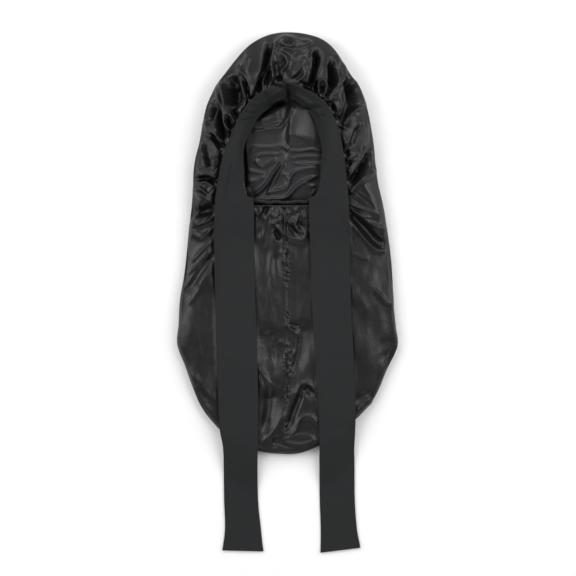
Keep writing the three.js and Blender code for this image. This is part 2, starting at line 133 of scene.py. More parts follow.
# The flat ties on the plan, a row for each section from the seam at the top middle of the opening to the hem.
Section = namedtuple("Section", "outer inner")
TIE_LEFT = [Section(*row) for row in (
    ((-1.1, 305.8), (-1.1, 283)),
    ((-12.3, 304.9), (-9.5, 280.4)),
    ((-21.9, 302.3), (-17.4, 276.6)),
    ((-35.8, 293), (-28.3, 268.2)),
    ((-54.4, 279.1), (-41.3, 255.9)),
    ((-70.6, 255.9), (-52.2, 238.5)),
    ((-81.1, 232.7), (-59.4, 222.6)),
    ((-91.3, 209.5), (-63.8, 205.2)),
    ((-97.4, 186.3), (-64.1, 183.4)),
    ((-101.5, 163.1), (-63.8, 163.1)),
    ((-104.3, 145.7), (-63, 149)),
    ((-105.2, 139), (-59, 141)),
    ((-105.9, 132), (-50, 135)),
    ((-106.5, 121), (-48.6, 124)),
    ((-106.8, 110), (-48.4, 110)),
    ((-107, 60), (-48.1, 60)),
    ((-105.5, -9), (-46.6, -9)),
    ((-103.5, -80), (-44.2, -80)),
    ((-101.8, -150), (-42.4, -150)),
    ((-99.5, -196), (-42.2, -196)),
    ((-94.8, -224), (-42.9, -224)),
    ((-93.5, -250), (-43.3, -250)),
    ((-92.8, -300), (-42.7, -300)),
    ((-91.5, -341.5), (-38.7, -341.5)),
    ((-95.3, -373.8), (-35.2, -375.3)),
)]
TIE_RIGHT = [Section(*row) for row in (
    ((-1.1, 305.8), (-1.1, 283)),
    ((12.3, 302.9), (9.5, 280.5)),
    ((26.8, 295.4), (21.5, 271.5)),
    ((43.1, 286.1), (33.4, 259.6)),
    ((57, 274.5), (40.6, 245.8)),
    ((66.3, 258.2), (44.9, 232.7)),
    ((75.5, 235.6), (49.3, 216.8)),
    ((81.1, 209.5), (50, 202.3)),
    ((84.5, 186.3), (49, 184.9)),
    ((86.9, 163.1), (47.1, 163.1)),
    ((88.6, 145.7), (44, 149)),
    ((89.2, 139), (39.5, 141)),
    ((89.8, 132), (32.4, 135)),
    ((90.2, 121), (31, 124)),
    ((90.6, 110), (31.2, 110)),
    ((91.4, 60), (32.7, 60)),
    ((93.1, -9), (34.6, -9)),
    ((96.4, -80), (38.9, -80)),
    ((99.7, -150), (43.9, -150)),
    ((99.4, -196), (46, -196)),
    ((98.3, -224), (46.3, -224)),
    ((98.1, -250), (46.1, -250)),
    ((98.4, -300), (46.7, -300)),
    ((101.4, -341.5), (48.1, -341.5)),
    ((106.6, -369.9), (48, -377.1)),
)]


# The folds. A path is read from the photograph, in its pixels. The height, which is below zero for a valley,
# and the widths of the left and the right flank, seen along the path, are in millimetres. taper is the share
# of the path that fades at each end.
Fold = namedtuple("Fold", "path height left right bend taper")


def fold(path, height, left, right, bend=0.2, taper=0.25):
    """A fold with two straight flanks. bend is how rounded it is, as a share of their widths."""
    return Fold(path, height, left, right, bend, taper)


def crest(path, height, left, right, taper=0.2):
    """A thin crest that the cloth hangs from: its sides fall away in hollow curves of these widths."""
    return Fold(path, height, left, right, None, taper)


def pocket(path, depth, left, right, taper=0.3):
    """A wide hollow with a flat floor and steep sides. left and right are its half widths."""
    return Fold(path, -depth, left, right, None, taper)


CROWN_FOLDS = [
    # The swirl at the top middle.
    crest([(273, 86), (272, 75), (271.3, 65.5), (272.5, 55.5), (275, 46), (278.5, 40.5), (284, 36.8),
           (290, 37.6), (298, 38.7)], 4, 3, 3.5, 0.12),
    crest([(298, 40), (304, 40), (309, 41), (309, 45), (305, 49.2), (300, 51.5), (295.8, 53.8)], 3, 2.5, 3),
    crest([(295.8, 53.8), (291.7, 50.5), (286, 48.8), (281.7, 49.3), (280, 53), (283, 55), (286, 57.5),
           (287.5, 62), (285.8, 66.5), (282, 71.3), (282.5, 76.5), (285, 81), (290, 83.2), (295, 83.4)],
           4, 2.5, 3, 0.1),
    pocket([(280, 44), (285, 42.5), (291, 43.5), (296, 45)], 3, 4, 4),
    pocket([(276.5, 60), (277, 68), (277.5, 77)], 4, 4, 4),
    pocket([(276, 79), (280, 78.5), (282, 77)], 5, 3, 3),
    pocket([(282.5, 58), (283, 62), (281.5, 66)], 3.5, 2.6, 2.6),
    pocket([(293, 80), (299, 76), (304, 69)], 3, 3, 3),
    crest([(292, 77), (298, 70), (303, 62), (306, 57)], 2.2, 4, 3),
    crest([(296, 80), (302, 74), (306.5, 64)], 1.8, 2, 2),
    crest([(299, 81), (305, 75), (309, 66)], 2, 2, 2),
    # Left of the swirl: the long valley, and the crests that cross beside it.
    crest([(265, 40), (265.4, 48.8), (263.3, 55), (262, 61.5), (260.8, 70), (258.5, 80)], 3.5, 5, 2, 0.15),
    pocket([(270, 45), (268.5, 52), (266.3, 60), (264.5, 68), (262, 77), (259.5, 86), (257, 93)],
            13, 4, 3.6, 0.15),
    pocket([(269.5, 69), (267.8, 77), (265.5, 87)], 11, 3.4, 3.4),
    crest([(266, 67), (263.6, 74), (262, 80), (261.7, 88)], 4, 1.6, 1.6),
    crest([(246.3, 51), (246.8, 58.5), (245, 64), (243, 69.5), (241.8, 73.5), (240.8, 78), (242, 84),
           (244.2, 90), (244.4, 99.5), (243.5, 106), (241.5, 111)], 4.5, 2, 3, 0.12),
    crest([(240, 60), (241.5, 66), (242.5, 72), (244.4, 75), (246.7, 80.5), (248.5, 86.5), (250.4, 94),
           (251.5, 99)], 4, 2, 4, 0.12),
    pocket([(243.6, 78), (245.5, 84), (247.4, 90), (248.4, 99)], 10, 3, 3),
    pocket([(240, 63), (240.6, 70)], 3, 2, 2),
    # The big pocket at the upper left, and the ridges round it.
    pocket([(227, 81), (233, 79.5), (238, 80)], 7, 5, 6),
    pocket([(231, 82), (233, 89), (233, 97), (232, 106)], 16, 9, 8, 0.2),
    pocket([(233.5, 106), (235, 113), (238, 121)], 8, 4, 4),
    pocket([(239.6, 92), (239.4, 100), (237, 109)], 8, 2.6, 2.6),
    crest([(238, 91), (238, 96), (236.5, 100), (234, 106)], 4, 1.8, 1.8),
    crest([(222, 82), (222, 86), (223.5, 92), (225, 99.7), (224.8, 107), (224, 114), (225, 121),
           (227.5, 127.2), (230, 133)], 6, 2.2, 4, 0.1),
    crest([(217.6, 86), (218, 94), (219.5, 101), (222, 108), (223.5, 113)], 3, 1.8, 1.8),
    pocket([(219.8, 90), (221.5, 99), (223, 107)], 3.5, 1.8, 1.8),
    crest([(227.5, 113), (230.5, 115), (233, 120), (234.4, 127)], 4, 1.8, 2.2),
    pocket([(227, 117), (228.3, 124), (231, 131)], 9, 2.6, 2.6),
    # Down the left side of the crown, ridge by ridge, each with its valley or pocket.
    crest([(211, 100), (215, 100.5), (217.2, 104.5), (217.3, 111.5), (215.6, 119.5), (215.5, 126.5),
           (218, 132.5)], 5, 2, 2.2, 0.12),
    pocket([(213.5, 105), (212.5, 112), (211.5, 121)], 8, 5, 4.5),
    pocket([(219, 106), (220.5, 115), (221, 124), (222, 133), (226, 141)], 11, 4, 4.5, 0.2),
    crest([(205.5, 119), (208, 125.5), (213.3, 130.5), (218.5, 136.3), (225, 144)], 5, 2, 2.4, 0.12),
    crest([(204.8, 127), (209, 131), (214, 135)], 2, 1.6, 1.6),
    pocket([(210, 134), (216, 141), (222, 151)], 8, 3.4, 3.4, 0.2),
    crest([(205.5, 137), (209, 146), (214, 155), (220, 164)], 3.5, 2, 2),
    crest([(209, 137), (215, 145), (220, 154)], 2.4, 1.6, 1.6),
    pocket([(204, 143), (203.5, 149), (205, 156)], 7, 4, 4),
    pocket([(203, 153), (205, 160), (209, 167)], 9, 4.5, 4.5),
    crest([(198, 162), (199.5, 168), (204, 171.3), (210, 173.5), (216, 177)], 4, 2, 2, 0.12),
    crest([(194, 175), (200, 174.3), (208, 175.5)], 2, 1.6, 1.6),
    pocket([(196, 178.5), (203, 177.5), (209, 179.5), (216, 184)], 10, 3, 3.4, 0.15),
    crest([(194, 182), (202, 181.5), (208, 181)], 2.6, 1.6, 1.6),
    pocket([(197, 186), (203, 191), (208, 195)], 4, 3, 3),
    crest([(214, 190), (210, 193), (208, 198)], 2, 4, 4),
    crest([(193, 189), (200, 193), (206, 197), (214, 202.5)], 4.5, 2, 2, 0.12),
    crest([(195, 194), (204, 199.5), (213, 205.5)], 2.6, 1.6, 1.6),
    pocket([(194, 214), (203, 212.5), (214, 208.5)], 9, 8, 5, 0.12),
    crest([(190, 219.5), (197, 221), (204, 220.5)], 2, 1.4, 1.4),
    crest([(190, 221.5), (196, 223.8), (202, 222.8), (208, 219.5), (214, 216)], 5, 2, 2.4, 0.12),
    crest([(191, 231), (196, 235), (200.5, 236.6), (206, 233), (212, 228.5)], 4, 2, 2.6, 0.12),
    # Where the left side runs out into the lower bag.
    crest([(190, 263), (198, 254.5), (206, 246.5), (213, 239)], 3, 4, 4),
    crest([(187, 273), (198, 262.5), (206, 255), (214, 248.5)], 2.6, 2, 2.4),
    pocket([(185, 291), (192, 282), (200, 271), (206, 262.5), (214, 254)], 5, 3, 3, 0.12),
    crest([(184, 288.5), (191, 280), (198, 270)], 2, 1.6, 1.6),
    crest([(196, 285), (201, 280.5), (207, 274), (213, 266)], 3, 3.4, 3.4),
    crest([(185, 304), (192, 298), (198, 289), (202, 281)], 3.2, 2, 2.6),
    fold([(194, 384), (202, 394), (210, 402)], -5, 5, 5),
    fold([(190, 372), (200, 388), (214, 402)], 4, 4, 5),
    # Right of the swirl: the first loop and its pockets.
    pocket([(313.5, 55), (316, 55.5), (317.5, 60)], 9, 3.6, 3.6),
    pocket([(317, 58), (315.8, 65), (314, 73), (311.5, 82), (310, 88)], 13, 3.4, 3.4, 0.15),
    crest([(310.6, 64), (310.8, 56), (312, 52), (316.2, 50.8), (319.5, 54), (320.3, 62), (318.4, 70),
           (315.5, 78.5), (313.2, 86.5), (312.6, 92)], 4, 2, 2.2, 0.1),
    crest([(314.6, 65), (313.8, 71), (312, 77)], 3, 1.5, 1.5),
    crest([(310.4, 70), (309.4, 79), (308, 88)], 3.5, 2, 1.8),
    pocket([(303, 84.5), (307, 87), (309, 90)], 7, 3.5, 3.5),
    pocket([(316.5, 80), (315.6, 86), (316.5, 94)], 10, 2.8, 2.8),
    # The second loop, and the deep pocket beside it.
    crest([(319.8, 96), (318.6, 90), (318.4, 84), (320.3, 80.8), (323.4, 80), (326, 83.6), (327, 89),
           (325.2, 95.3), (323.8, 100)], 3.5, 1.8, 1.8, 0.1),
    pocket([(322.6, 85), (322.4, 94)], 6, 2.8, 2.8),
    pocket([(332, 60), (332.6, 67), (333, 74), (333, 81), (331, 88)], 15, 6.4, 6.4, 0.22),
    pocket([(331, 87), (328, 94), (325, 99)], 7, 3, 3),
    crest([(330.5, 56.5), (328, 62), (327.2, 70), (328, 79), (329, 86)], 3.5, 3, 1.8, 0.15),
    crest([(332.5, 55.5), (335.8, 63.5), (337.8, 71), (339, 79.5), (336.8, 85.5), (331.4, 92.6),
           (327, 99)], 5, 2, 3, 0.12),
    # Down the right side of the crown.
    crest([(340, 60), (342.7, 68.4), (344.4, 76.5), (344, 84), (343, 92.6), (342.2, 104), (340.8, 113),
           (339.2, 119)], 5.5, 3, 2, 0.1),
    crest([(327.8, 102.5), (331.4, 99.5), (335, 98), (338.2, 101.6), (338.6, 107), (337, 114)], 3, 2, 2),
    pocket([(332.5, 104), (334.2, 111)], 6, 2.8, 2.8),
    pocket([(346.5, 79), (349, 86), (351, 93)], 11, 6, 6),
    pocket([(348, 84), (351, 92), (351.5, 101), (349, 110), (345, 119), (341.5, 127)], 13, 8.5, 8.5, 0.15),
    crest([(344.4, 96), (345, 106), (344, 114), (341, 123)], 4, 1.5, 1.8),
    crest([(352, 76), (358, 86), (362, 97), (364, 108)], 3, 4, 4),
    crest([(362, 106), (355, 110.6), (350.3, 115.5), (346, 123), (343.2, 130)], 5, 2.6, 4, 0.12),
    crest([(359.5, 118), (355.7, 125), (352, 132), (348.5, 140.2), (346.2, 148)], 3.4, 3, 3),
    pocket([(358, 124), (354.8, 135.7), (350.3, 149)], 4, 4, 4),
    crest([(362, 117), (361.6, 131), (360.2, 144), (357, 154)], 3.4, 3, 3),
    crest([(366, 120), (366.5, 136), (364, 150)], 2.6, 3, 3),
    crest([(358.5, 153.5), (352, 156.3), (346.5, 159.5)], 2.4, 1.6, 1.6),
    crest([(355, 158), (348.5, 163)], 2, 1.6, 1.6),
    pocket([(350, 152), (347.5, 153), (346.5, 156)], 6, 3, 3),
    pocket([(353, 160), (347, 166)], 5, 2.2, 2.2),
    crest([(348, 177), (352.5, 171.5), (356.5, 164.5), (358.5, 156)], 3, 1.8, 1.8),
    pocket([(370, 151), (369, 158), (366, 165)], 6, 4, 5),
    pocket([(368, 160), (363, 168), (357, 175.5), (350, 184)], 11, 5, 5, 0.15),
    crest([(376, 169), (369, 174.3), (362, 180.3), (355, 187), (349, 195)], 4.6, 2.6, 4.5, 0.12),
    # The fan at the lower right of the crown.
    crest([(349, 204), (358, 207), (368, 210), (380, 214)], 3, 2, 2.6),
    pocket([(349, 205.8), (356, 208.6), (363, 211.5)], 4, 1.8, 1.8),
    crest([(349, 207.5), (360, 213), (373, 217.5)], 3.4, 1.8, 2.4),
    crest([(350, 210), (362, 216.3), (370, 222), (378, 226), (388, 228.5)], 3.4, 2, 2, 0.12),
    pocket([(349, 214), (356, 219), (363, 226), (370, 233), (377, 240), (384, 245)], 8, 6, 6, 0.12),
    crest([(355, 225), (362, 234), (368, 242), (374, 248), (380, 250.3), (388, 248)], 3.6, 2.6, 2, 0.12),
    # Where the right side runs out into the lower bag.
    crest([(352, 252), (361, 256.5), (371, 257.5)], 1.6, 2.4, 2.4),
    crest([(351, 284), (358, 294), (364, 305), (367.5, 314)], 3, 2, 2.4),
    crest([(351, 294), (356, 300), (360, 306)], 1.8, 1.6, 1.6),
    crest([(373, 287), (380, 294), (386, 301), (394, 304.5)], 3, 2, 2.4),
    fold([(380, 346), (390, 344), (398, 350)], -3, 4, 4),
    fold([(384, 362), (390, 352)], -4, 5, 5),
    fold([(356, 416), (366, 406), (374, 400)], 4, 4, 4),
    fold([(356, 406), (362, 398), (370, 396)], -3, 4, 4),
]

MIDDLE_FOLDS = [
    # The ruffle below the casing.
    crest([(254.5, 208), (256, 214), (259, 213.8), (262.5, 209)], 3.4, 1.8, 1.8, 0.12),
    pocket([(270, 207.5), (266, 209), (264.5, 215)], 8, 3, 3, 0.15),
    crest([(255.5, 215), (256.5, 228), (257, 243)], 3, 2, 3),
    pocket([(262, 214), (261.5, 227), (259.5, 239)], 3.4, 2.6, 2.6),
    crest([(271, 211), (272.5, 215.5), (276, 216), (281, 212.5)], 2.6, 1.5, 1.5),
    crest([(275, 210), (278, 211.5), (280, 209)], 2.2, 1.4, 1.4),
    pocket([(282.5, 208.5), (285, 210.5)], 6, 2, 2),
    crest([(282, 218.5), (276.5, 221.5), (274, 224), (277, 227.3), (283.5, 232.5)], 3.4, 1.6, 2, 0.1),
    pocket([(274.5, 231), (277, 235), (279.5, 239)], 7, 3.6, 3.6, 0.1),
    crest([(272, 229), (273.5, 235), (275.5, 241)], 2, 1.4, 1.4),
    pocket([(282.7, 213), (283, 223), (284, 234)], 2.4, 1.2, 1.2),
    crest([(284.5, 214), (284.8, 224), (285.3, 234)], 2.2, 1.6, 1.6),
    # The lobes right of the seam.
    crest([(290.5, 210.5), (288, 215), (287.3, 219.5), (289, 222.3), (292, 221.8), (295, 219)],
           3, 1.6, 1.6, 0.1),
    crest([(295.5, 212), (297, 210), (299.5, 211)], 2.4, 1.4, 1.4),
    crest([(304, 219), (302.5, 214.5), (300, 214), (298, 217), (297, 221), (294.7, 224.5), (295.3, 227.5),
           (299, 230.7), (305.5, 232.5)], 3.4, 1.7, 1.9, 0.06),
    crest([(303.3, 216), (304.5, 220.5), (306.3, 224), (308, 228)], 3, 1.6, 1.6),
    pocket([(300, 221), (300, 225), (303, 228)], 3, 3, 3),
    pocket([(288, 225), (292, 230), (298, 236)], 4, 3.4, 3.4),
    crest([(285, 230), (286.5, 235), (291, 237.5), (297, 239.5), (302, 240), (305, 236.5), (306, 231)],
           4, 2.4, 3, 0.1),
    # The panel between the ties.
    fold([(264, 246), (266, 270), (268, 300)], -2.6, 4, 6, 0.7),
    pocket([(277, 252), (276, 266), (277, 280)], 2.4, 7, 6),
    pocket([(288, 252.5), (286.5, 256)], 2.6, 1.8, 1.8),
    crest([(281.5, 249), (282.5, 257), (283.5, 264)], 1.6, 2, 2),
    pocket([(291, 324.5), (295, 325.5), (297.5, 328)], 4.5, 4, 4),
    crest([(292, 319.5), (287.3, 324.5), (290, 328), (294, 331), (297.5, 336)], 2.6, 1.4, 1.6),
    crest([(280.5, 339), (283, 343), (289, 345)], 2.6, 1.5, 1.8),
    fold([(303, 314), (301, 338), (297, 360), (289, 382)], -6, 8, 3, 0.5),
    fold([(268, 328), (270, 346), (273, 368)], -4.5, 3, 7, 0.5),
    fold([(272, 388), (269, 410), (262, 440)], -5, 8, 3, 0.5),
    crest([(256.5, 366), (263, 373.5), (268, 381), (276, 388)], 2.8, 1.6, 2, 0.12),
    crest([(258, 374), (261.8, 386), (262, 400)], 2.4, 1.8, 1.8),
    pocket([(270, 386), (267.5, 402), (266, 420), (263, 436)], 4.5, 6, 6),
    # Small puckers of the seam.
    crest([(287.5, 375), (287.5, 371), (291, 369.5), (294.5, 372.5), (292, 376), (288.5, 375.5)],
           1.6, 1.3, 1.3, 0.05),
    crest([(288, 352), (291, 350.5), (293.5, 353), (291, 356.5), (288.5, 360)], 1.6, 1.3, 1.3, 0.08),
    # The arcs and hollows at the bottom.
    crest([(295.5, 397), (298, 389), (301.5, 384), (306, 382.7), (311, 385.5), (315, 392.5), (318.5, 399)],
           3.6, 1.8, 1.8, 0.1),
    pocket([(303, 389), (309, 390.5), (314, 396)], 5, 4.4, 4.4),
    pocket([(301, 394), (297, 403), (293, 414), (288.5, 429)], 7, 4.4, 4.4, 0.15),
    crest([(284, 408), (280, 420), (274, 430), (262, 442)], 3.4, 5, 4),
    pocket([(277, 437), (273.5, 446)], 4, 3, 3),
    crest([(290, 434), (296, 430.5), (299, 422), (303, 417), (309, 416), (314, 419.5), (319, 425)],
           3.2, 1.8, 2.2, 0.1),
    crest([(286, 440), (291, 437), (299, 435.7), (308, 436.3), (313, 440), (306, 444), (298, 444.6),
           (290, 443.3), (285.5, 441)], 2.6, 1.5, 1.5, 0.06),
    pocket([(258, 446), (266, 448.5), (273, 447), (279, 443.5), (285, 446.3), (295, 448.3), (308, 447)],
            2.4, 1.5, 1.5, 0.08),
]

INSIDE_FOLDS = [
    # Under the top of the band, and down its left side.
    crest([(251, 131.5), (260, 131.3), (270, 129), (281, 127.5), (286.5, 120.5), (290, 113), (293.5, 106)],
           4, 3, 2.6, 0.1),
    crest([(259, 122), (267, 117.5), (280, 111)], 3.2, 1.8, 2.4),
    crest([(258, 125), (268, 120.5), (280, 116)], 2.6, 1.6, 2),
    crest([(261, 127), (270, 124.3), (281, 120)], 2.6, 1.6, 2),
    fold([(294, 94), (292.4, 113), (290.8, 132), (289, 153)], 10.5, 18, 2.4, 0.7, 0.3),
    pocket([(256, 119), (263, 112.5), (270, 107.5), (278, 104.5), (287, 101.5)], 15, 3.6, 3.6),
    pocket([(245, 139), (244, 147), (245, 158), (246, 172), (247, 192)], 12, 2.2, 2.2, 0.1),
    # The packing creases across the middle.
    crest([(249, 151), (255, 148), (265, 148), (274, 147), (281, 146), (286, 148), (290, 151)],
           3, 2.4, 3.4, 0.1),
    crest([(290, 151), (300, 151.5), (312, 150), (322, 152)], 3, 2, 2, 0.1),
    crest([(292, 158), (306, 157), (322, 157.5)], 2.6, 1.8, 1.8),
    crest([(294, 163.5), (308, 165), (320, 164.5)], 2, 1.8, 1.8),
    # The loop, the wedge and the ridges below them.
    crest([(280, 154), (268, 154.5), (258, 156), (256, 161), (262, 167), (270, 163.5), (278, 158)],
           2.4, 1.8, 1.8, 0.1),
    crest([(247, 170), (258, 173), (266, 174)], 2.4, 2, 2),
    crest([(248, 181), (256, 181), (266, 176)], 2, 1.8, 1.8),
    crest([(283, 160), (274, 173), (264, 187), (254, 196)], 3.6, 1.8, 2.4, 0.12),
    pocket([(280, 166), (273, 178), (264, 194)], 2, 2.4, 2.4),
    crest([(285, 162), (277, 176), (266, 197)], 3.2, 2, 1.8, 0.12),
    crest([(280, 174), (286, 175), (289, 180)], 1.2, 2, 2),
    crest([(268, 193), (280, 190), (287, 187), (291, 176), (298, 171), (310, 168), (321, 170)],
           3, 2, 2.4, 0.1),
    crest([(254, 201), (272, 199), (285, 198), (294, 190), (304, 182), (318, 176)], 3.6, 2, 2.6, 0.1),
    crest([(303, 182), (309, 186), (316, 186)], 2, 1.8, 1.8),
]

BAND_FOLDS = [
    # The oval roll and the seam at the top of the band.
    fold([(266, 96), (271, 94), (277, 93.5), (283, 95)], 9, 4, 4, 0.9, 0.2),
    pocket([(261, 93), (266, 88), (277, 86.5), (285, 89)], 10, 2, 2),
    pocket([(286, 89), (288.5, 94), (287, 99)], 10, 3, 3),
    pocket([(258, 108), (264, 106), (272, 105), (280, 103.5), (288, 101)], 9, 3.4, 3.4),
    pocket([(283, 87), (290, 90), (297, 93)], 9, 5, 5),
    pocket([(287.5, 84), (288, 92), (289, 101)], 3, 3.4, 3.4),
    # The sides of the band.
    pocket([(243, 111), (250, 113.5), (260, 112)], 2.6, 1.8, 1.8),
    pocket([(240, 122), (246, 120.5), (254, 119)], 2.2, 1.6, 1.6),
    crest([(250, 104), (256, 105), (262, 109)], 1.6, 2, 2),
    pocket([(253, 127), (249, 135)], 2, 2, 2),
    pocket([(303, 108.5), (310, 108), (319, 108)], 10, 2.8, 2.8),
    pocket([(313, 118), (320, 116.5), (327, 118.5)], 2, 1.6, 1.6),
    crest([(298, 99), (305, 103.5), (313, 104)], 2, 4, 3),
    # The flat ties.
    pocket([(233, 160), (230, 172), (227, 188), (224, 206)], 1.6, 1.3, 1.3),
    pocket([(240, 166), (236, 182), (233, 196)], 0.5, 1.6, 1.6),
    pocket([(224, 205), (236, 207), (252, 204)], 0.35, 1, 1),
    pocket([(319, 200), (334, 203), (349, 203)], 0.35, 1, 1),
    pocket([(314, 320), (317, 360), (321, 400), (323, 440), (323, 478)], 0.9, 1.2, 1.2),
    crest([(322, 402), (332, 396), (344, 392)], 0.5, 3, 3),
    pocket([(330, 436), (340, 428), (350, 424)], 0.6, 3, 3),
]


# Numbers and curves.
def mix(low, high, share):
    return low + (high - low) * share


def smooth(value):
    held = np.clip(value, 0, 1)
    return held * held * (3 - 2 * held)


def catmull_rom(points, shares, closed):
    """Points of a Catmull-Rom curve through the given ones, at shares from 0 to 1 of its rows."""
    points = np.asarray(points, float)
    spans = len(points) if closed else len(points) - 1
    if closed:
        padded = np.concatenate([points[-1:], points, points[:2]])
    else:
        before = 2 * points[:1] - points[1:2]
        after = 2 * points[-1:] - points[-2:-1]
        padded = np.concatenate([before, points, after])
    place = np.asarray(shares, float) * spans
    first = np.clip(np.floor(place).astype(int), 0, spans - 1)
    t = (place - first)[:, None]
    p0, p1, p2, p3 = (padded[first + step] for step in range(4))
    slope_in, slope_out = (p2 - p0) / 2, (p3 - p1) / 2
    hermite = (2 * t**3 - 3 * t**2 + 1) * p1 + (t**3 - 2 * t**2 + t) * slope_in
    return hermite + (3 * t**2 - 2 * t**3) * p2 + (t**3 - t**2) * slope_out


def crown_share(y):
    """How much a place belongs to the puffed crown, from 0 in the lower bag to 1."""
    return smooth((y - CROWN_STARTS_Y) / (CROWN_FULL_Y - CROWN_STARTS_Y))


# Soft noise: how many waves it adds up, and their shortest and longest as a share of its wavelength.
NOISE_WAVES, NOISE_SHORTEST, NOISE_LONGEST = 10, 0.7, 1.5


def soft_noise(plan, wavelength, seed):
    """Smooth waviness from a few seeded waves in all directions, about -1 to 1."""
    draw = np.random.default_rng(seed)
    total = np.zeros(len(plan))
    for _ in range(NOISE_WAVES):
        angle = draw.uniform(0, FULL_TURN)
        length = wavelength * draw.uniform(NOISE_SHORTEST, NOISE_LONGEST)
        phase = draw.uniform(0, FULL_TURN)
        run = plan[:, 0] * math.cos(angle) + plan[:, 1] * math.sin(angle)
        total += np.sin(FULL_TURN * run / length + phase)
    return total / math.sqrt(NOISE_WAVES)


# How the folds are drawn: the steps between two places of a path, how far a fold reaches in its widths, how
# much its line sways, the share of its height that it keeps at its ends, and the shapes of the three kinds.
FOLD_STEPS_A_SPAN = 6
FOLD_REACH = 4.5
FOLD_SWAY, FOLD_SWAY_LENGTH, FOLD_SWAY_SEEDS = 0.35, 26, (21, 22)
FOLD_LEFT_AT_END = 0.25
FLANK_WIDTH = 2.0
CREST_ROUND = 0.7
POCKET_STEEPNESS = 2.4


def flanks(reach, bend):
    """The section of a fold: two straight flanks with a rounded crest and rounded feet. 1 on the crest."""
    def section(place):
        inside = 1 - np.sqrt(place**2 + bend**2)
        return inside + np.sqrt(inside**2 + bend**2)

    return section(reach) / section(0)


def section_at(one, distance, width):
    """The section of any kind of fold at these distances from its line, for flanks of these widths."""
    if one.bend is not None:
        return flanks(distance / (FLANK_WIDTH * width), one.bend)
    if one.height > 0:
        return np.exp(-(np.sqrt(distance**2 + CREST_ROUND**2) - CREST_ROUND) / width)
    return np.exp(-((distance / width) ** POCKET_STEEPNESS))


def fold_heights(plan, folds, level=0):
    """What the folds add to the height at points of the plan, all in millimetres. A little sway keeps their
    lines from looking drawn."""
    total = np.zeros(len(plan))
    sway = [soft_noise(plan, FOLD_SWAY_LENGTH, seed) for seed in FOLD_SWAY_SEEDS]
    plan = plan + FOLD_SWAY * np.stack(sway, axis=-1)
    for one in folds:
        corners = at_level(photo(one.path), level)
        count = FOLD_STEPS_A_SPAN * (len(corners) - 1) + 1
        line = catmull_rom(corners, np.linspace(0, 1, count), closed=False)
        reach = FOLD_REACH * max(one.left, one.right)
        near = np.all((plan > line.min(0) - reach) & (plan < line.max(0) + reach), axis=1)
        if not near.any():
            continue
        spots = plan[near][:, None, :]
        start, step = line[:-1][None], np.diff(line, axis=0)[None]
        along = np.clip(((spots - start) * step).sum(-1) / (step**2).sum(-1), 0, 1)
        away = spots - (start + along[..., None] * step)
        distance = np.linalg.norm(away, axis=-1)
        best = distance.argmin(1)
        rows = np.arange(len(best))
        side = (step[..., 0] * away[..., 1] - step[..., 1] * away[..., 0])[rows, best]
        share = (best + along[rows, best]) / (count - 1)
        away_from_line = distance[rows, best]
        sine = side / np.maximum(np.linalg.norm(step, axis=-1)[0, best] * away_from_line, TINY)
        width = mix(one.right, one.left, smooth((sine + 1) / 2))
        profile = section_at(one, away_from_line, width)
        ends = smooth(share / one.taper) * smooth((1 - share) / one.taper)
        total[near] += one.height * mix(FOLD_LEFT_AT_END, 1, ends) * profile
    return total


def edges_at(rows, y):
    """The outer and inner edge of a flat tie, as x, at each y below the band."""
    straight = [row for row in rows if row.outer[1] < TIES_LIE_BELOW_Y][::-1]
    levels = [row.outer[1] for row in straight]
    outer = [row.outer[0] for row in straight]
    inner = [row.inner[0] for row in straight]
    return np.interp(y, levels, outer), np.interp(y, levels, inner)


TIE_PRESS_MARGIN, TIE_PRESS_FADE = 4, 9


def clear_of_ties(plan):
    """1 away from the flat ties, which press the bag smooth, and 0 under them."""
    clear = np.ones(len(plan))
    for rows in (TIE_LEFT, TIE_RIGHT):
        outer, inner = edges_at(rows, plan[:, 1])
        reach = np.abs(plan[:, 0] - (outer + inner) / 2) - np.abs(outer - inner) / 2
        pressed = smooth((reach + TIE_PRESS_MARGIN) / TIE_PRESS_FADE)
        above = smooth((plan[:, 1] - TIES_LIE_BELOW_Y) / TIE_PRESS_FADE)
        clear = np.minimum(clear, np.maximum(pressed, above))
    return clear


# Meshes.
def new_object(name, points, faces):
    """A smooth-shaded mesh object from points in millimetres, whose texture places are its plan in metres."""
    mesh = bpy.data.meshes.new(name)
    mesh.from_pydata((points * MM).tolist(), [], faces)
    mesh.validate()
    layer = mesh.uv_layers.new(name="cloth")
    corner = np.empty(len(mesh.loops), dtype=np.int32)
    mesh.loops.foreach_get("vertex_index", corner)
    plan = points[:, :2] * MM
    layer.data.foreach_set("uv", plan[corner].astype(np.float32).ravel())
    mesh.polygons.foreach_set("use_smooth", [True] * len(mesh.polygons))
    made = bpy.data.objects.new(name, mesh)
    bpy.context.collection.objects.link(made)
    return made


def loop_faces(rows, count):
    """Quads of a grid whose rows are closed loops of count points, for rows that run outward and down."""
    row, step = np.meshgrid(np.arange(rows - 1), np.arange(count), indexing="ij")
    following = (step + 1) % count
    a, b = row * count + step, row * count + following
    return np.stack([a, b, b + count, a + count], axis=-1).reshape(-1, 4)


def tube(name, grid, turn_sides=False, turn_caps=False):
    """A closed tube from a grid of points, rows by closed loop, with a cap on its first and its last row."""
    rows, count = grid.shape[:2]
    sides = loop_faces(rows, count)
    if turn_sides:
        sides = sides[:, ::-1]
    loops = np.arange(rows * count).reshape(rows, count)
    caps = [loops[0], loops[-1, ::-1]]
    if turn_caps:
        caps = [cap[::-1] for cap in caps]
    return new_object(name, grid.reshape(-1, 3), sides.tolist() + [cap.tolist() for cap in caps])


def grid_normals(grid):
    """Unit normals of a grid of points, rows by closed loop, pointing up for rows that run outward."""
    along = np.roll(grid, -1, axis=1) - np.roll(grid, 1, axis=1)
    across = np.gradient(grid, axis=0)
    normal = np.cross(along, across)
    return normal / np.maximum(np.linalg.norm(normal, axis=-1, keepdims=True), TINY)


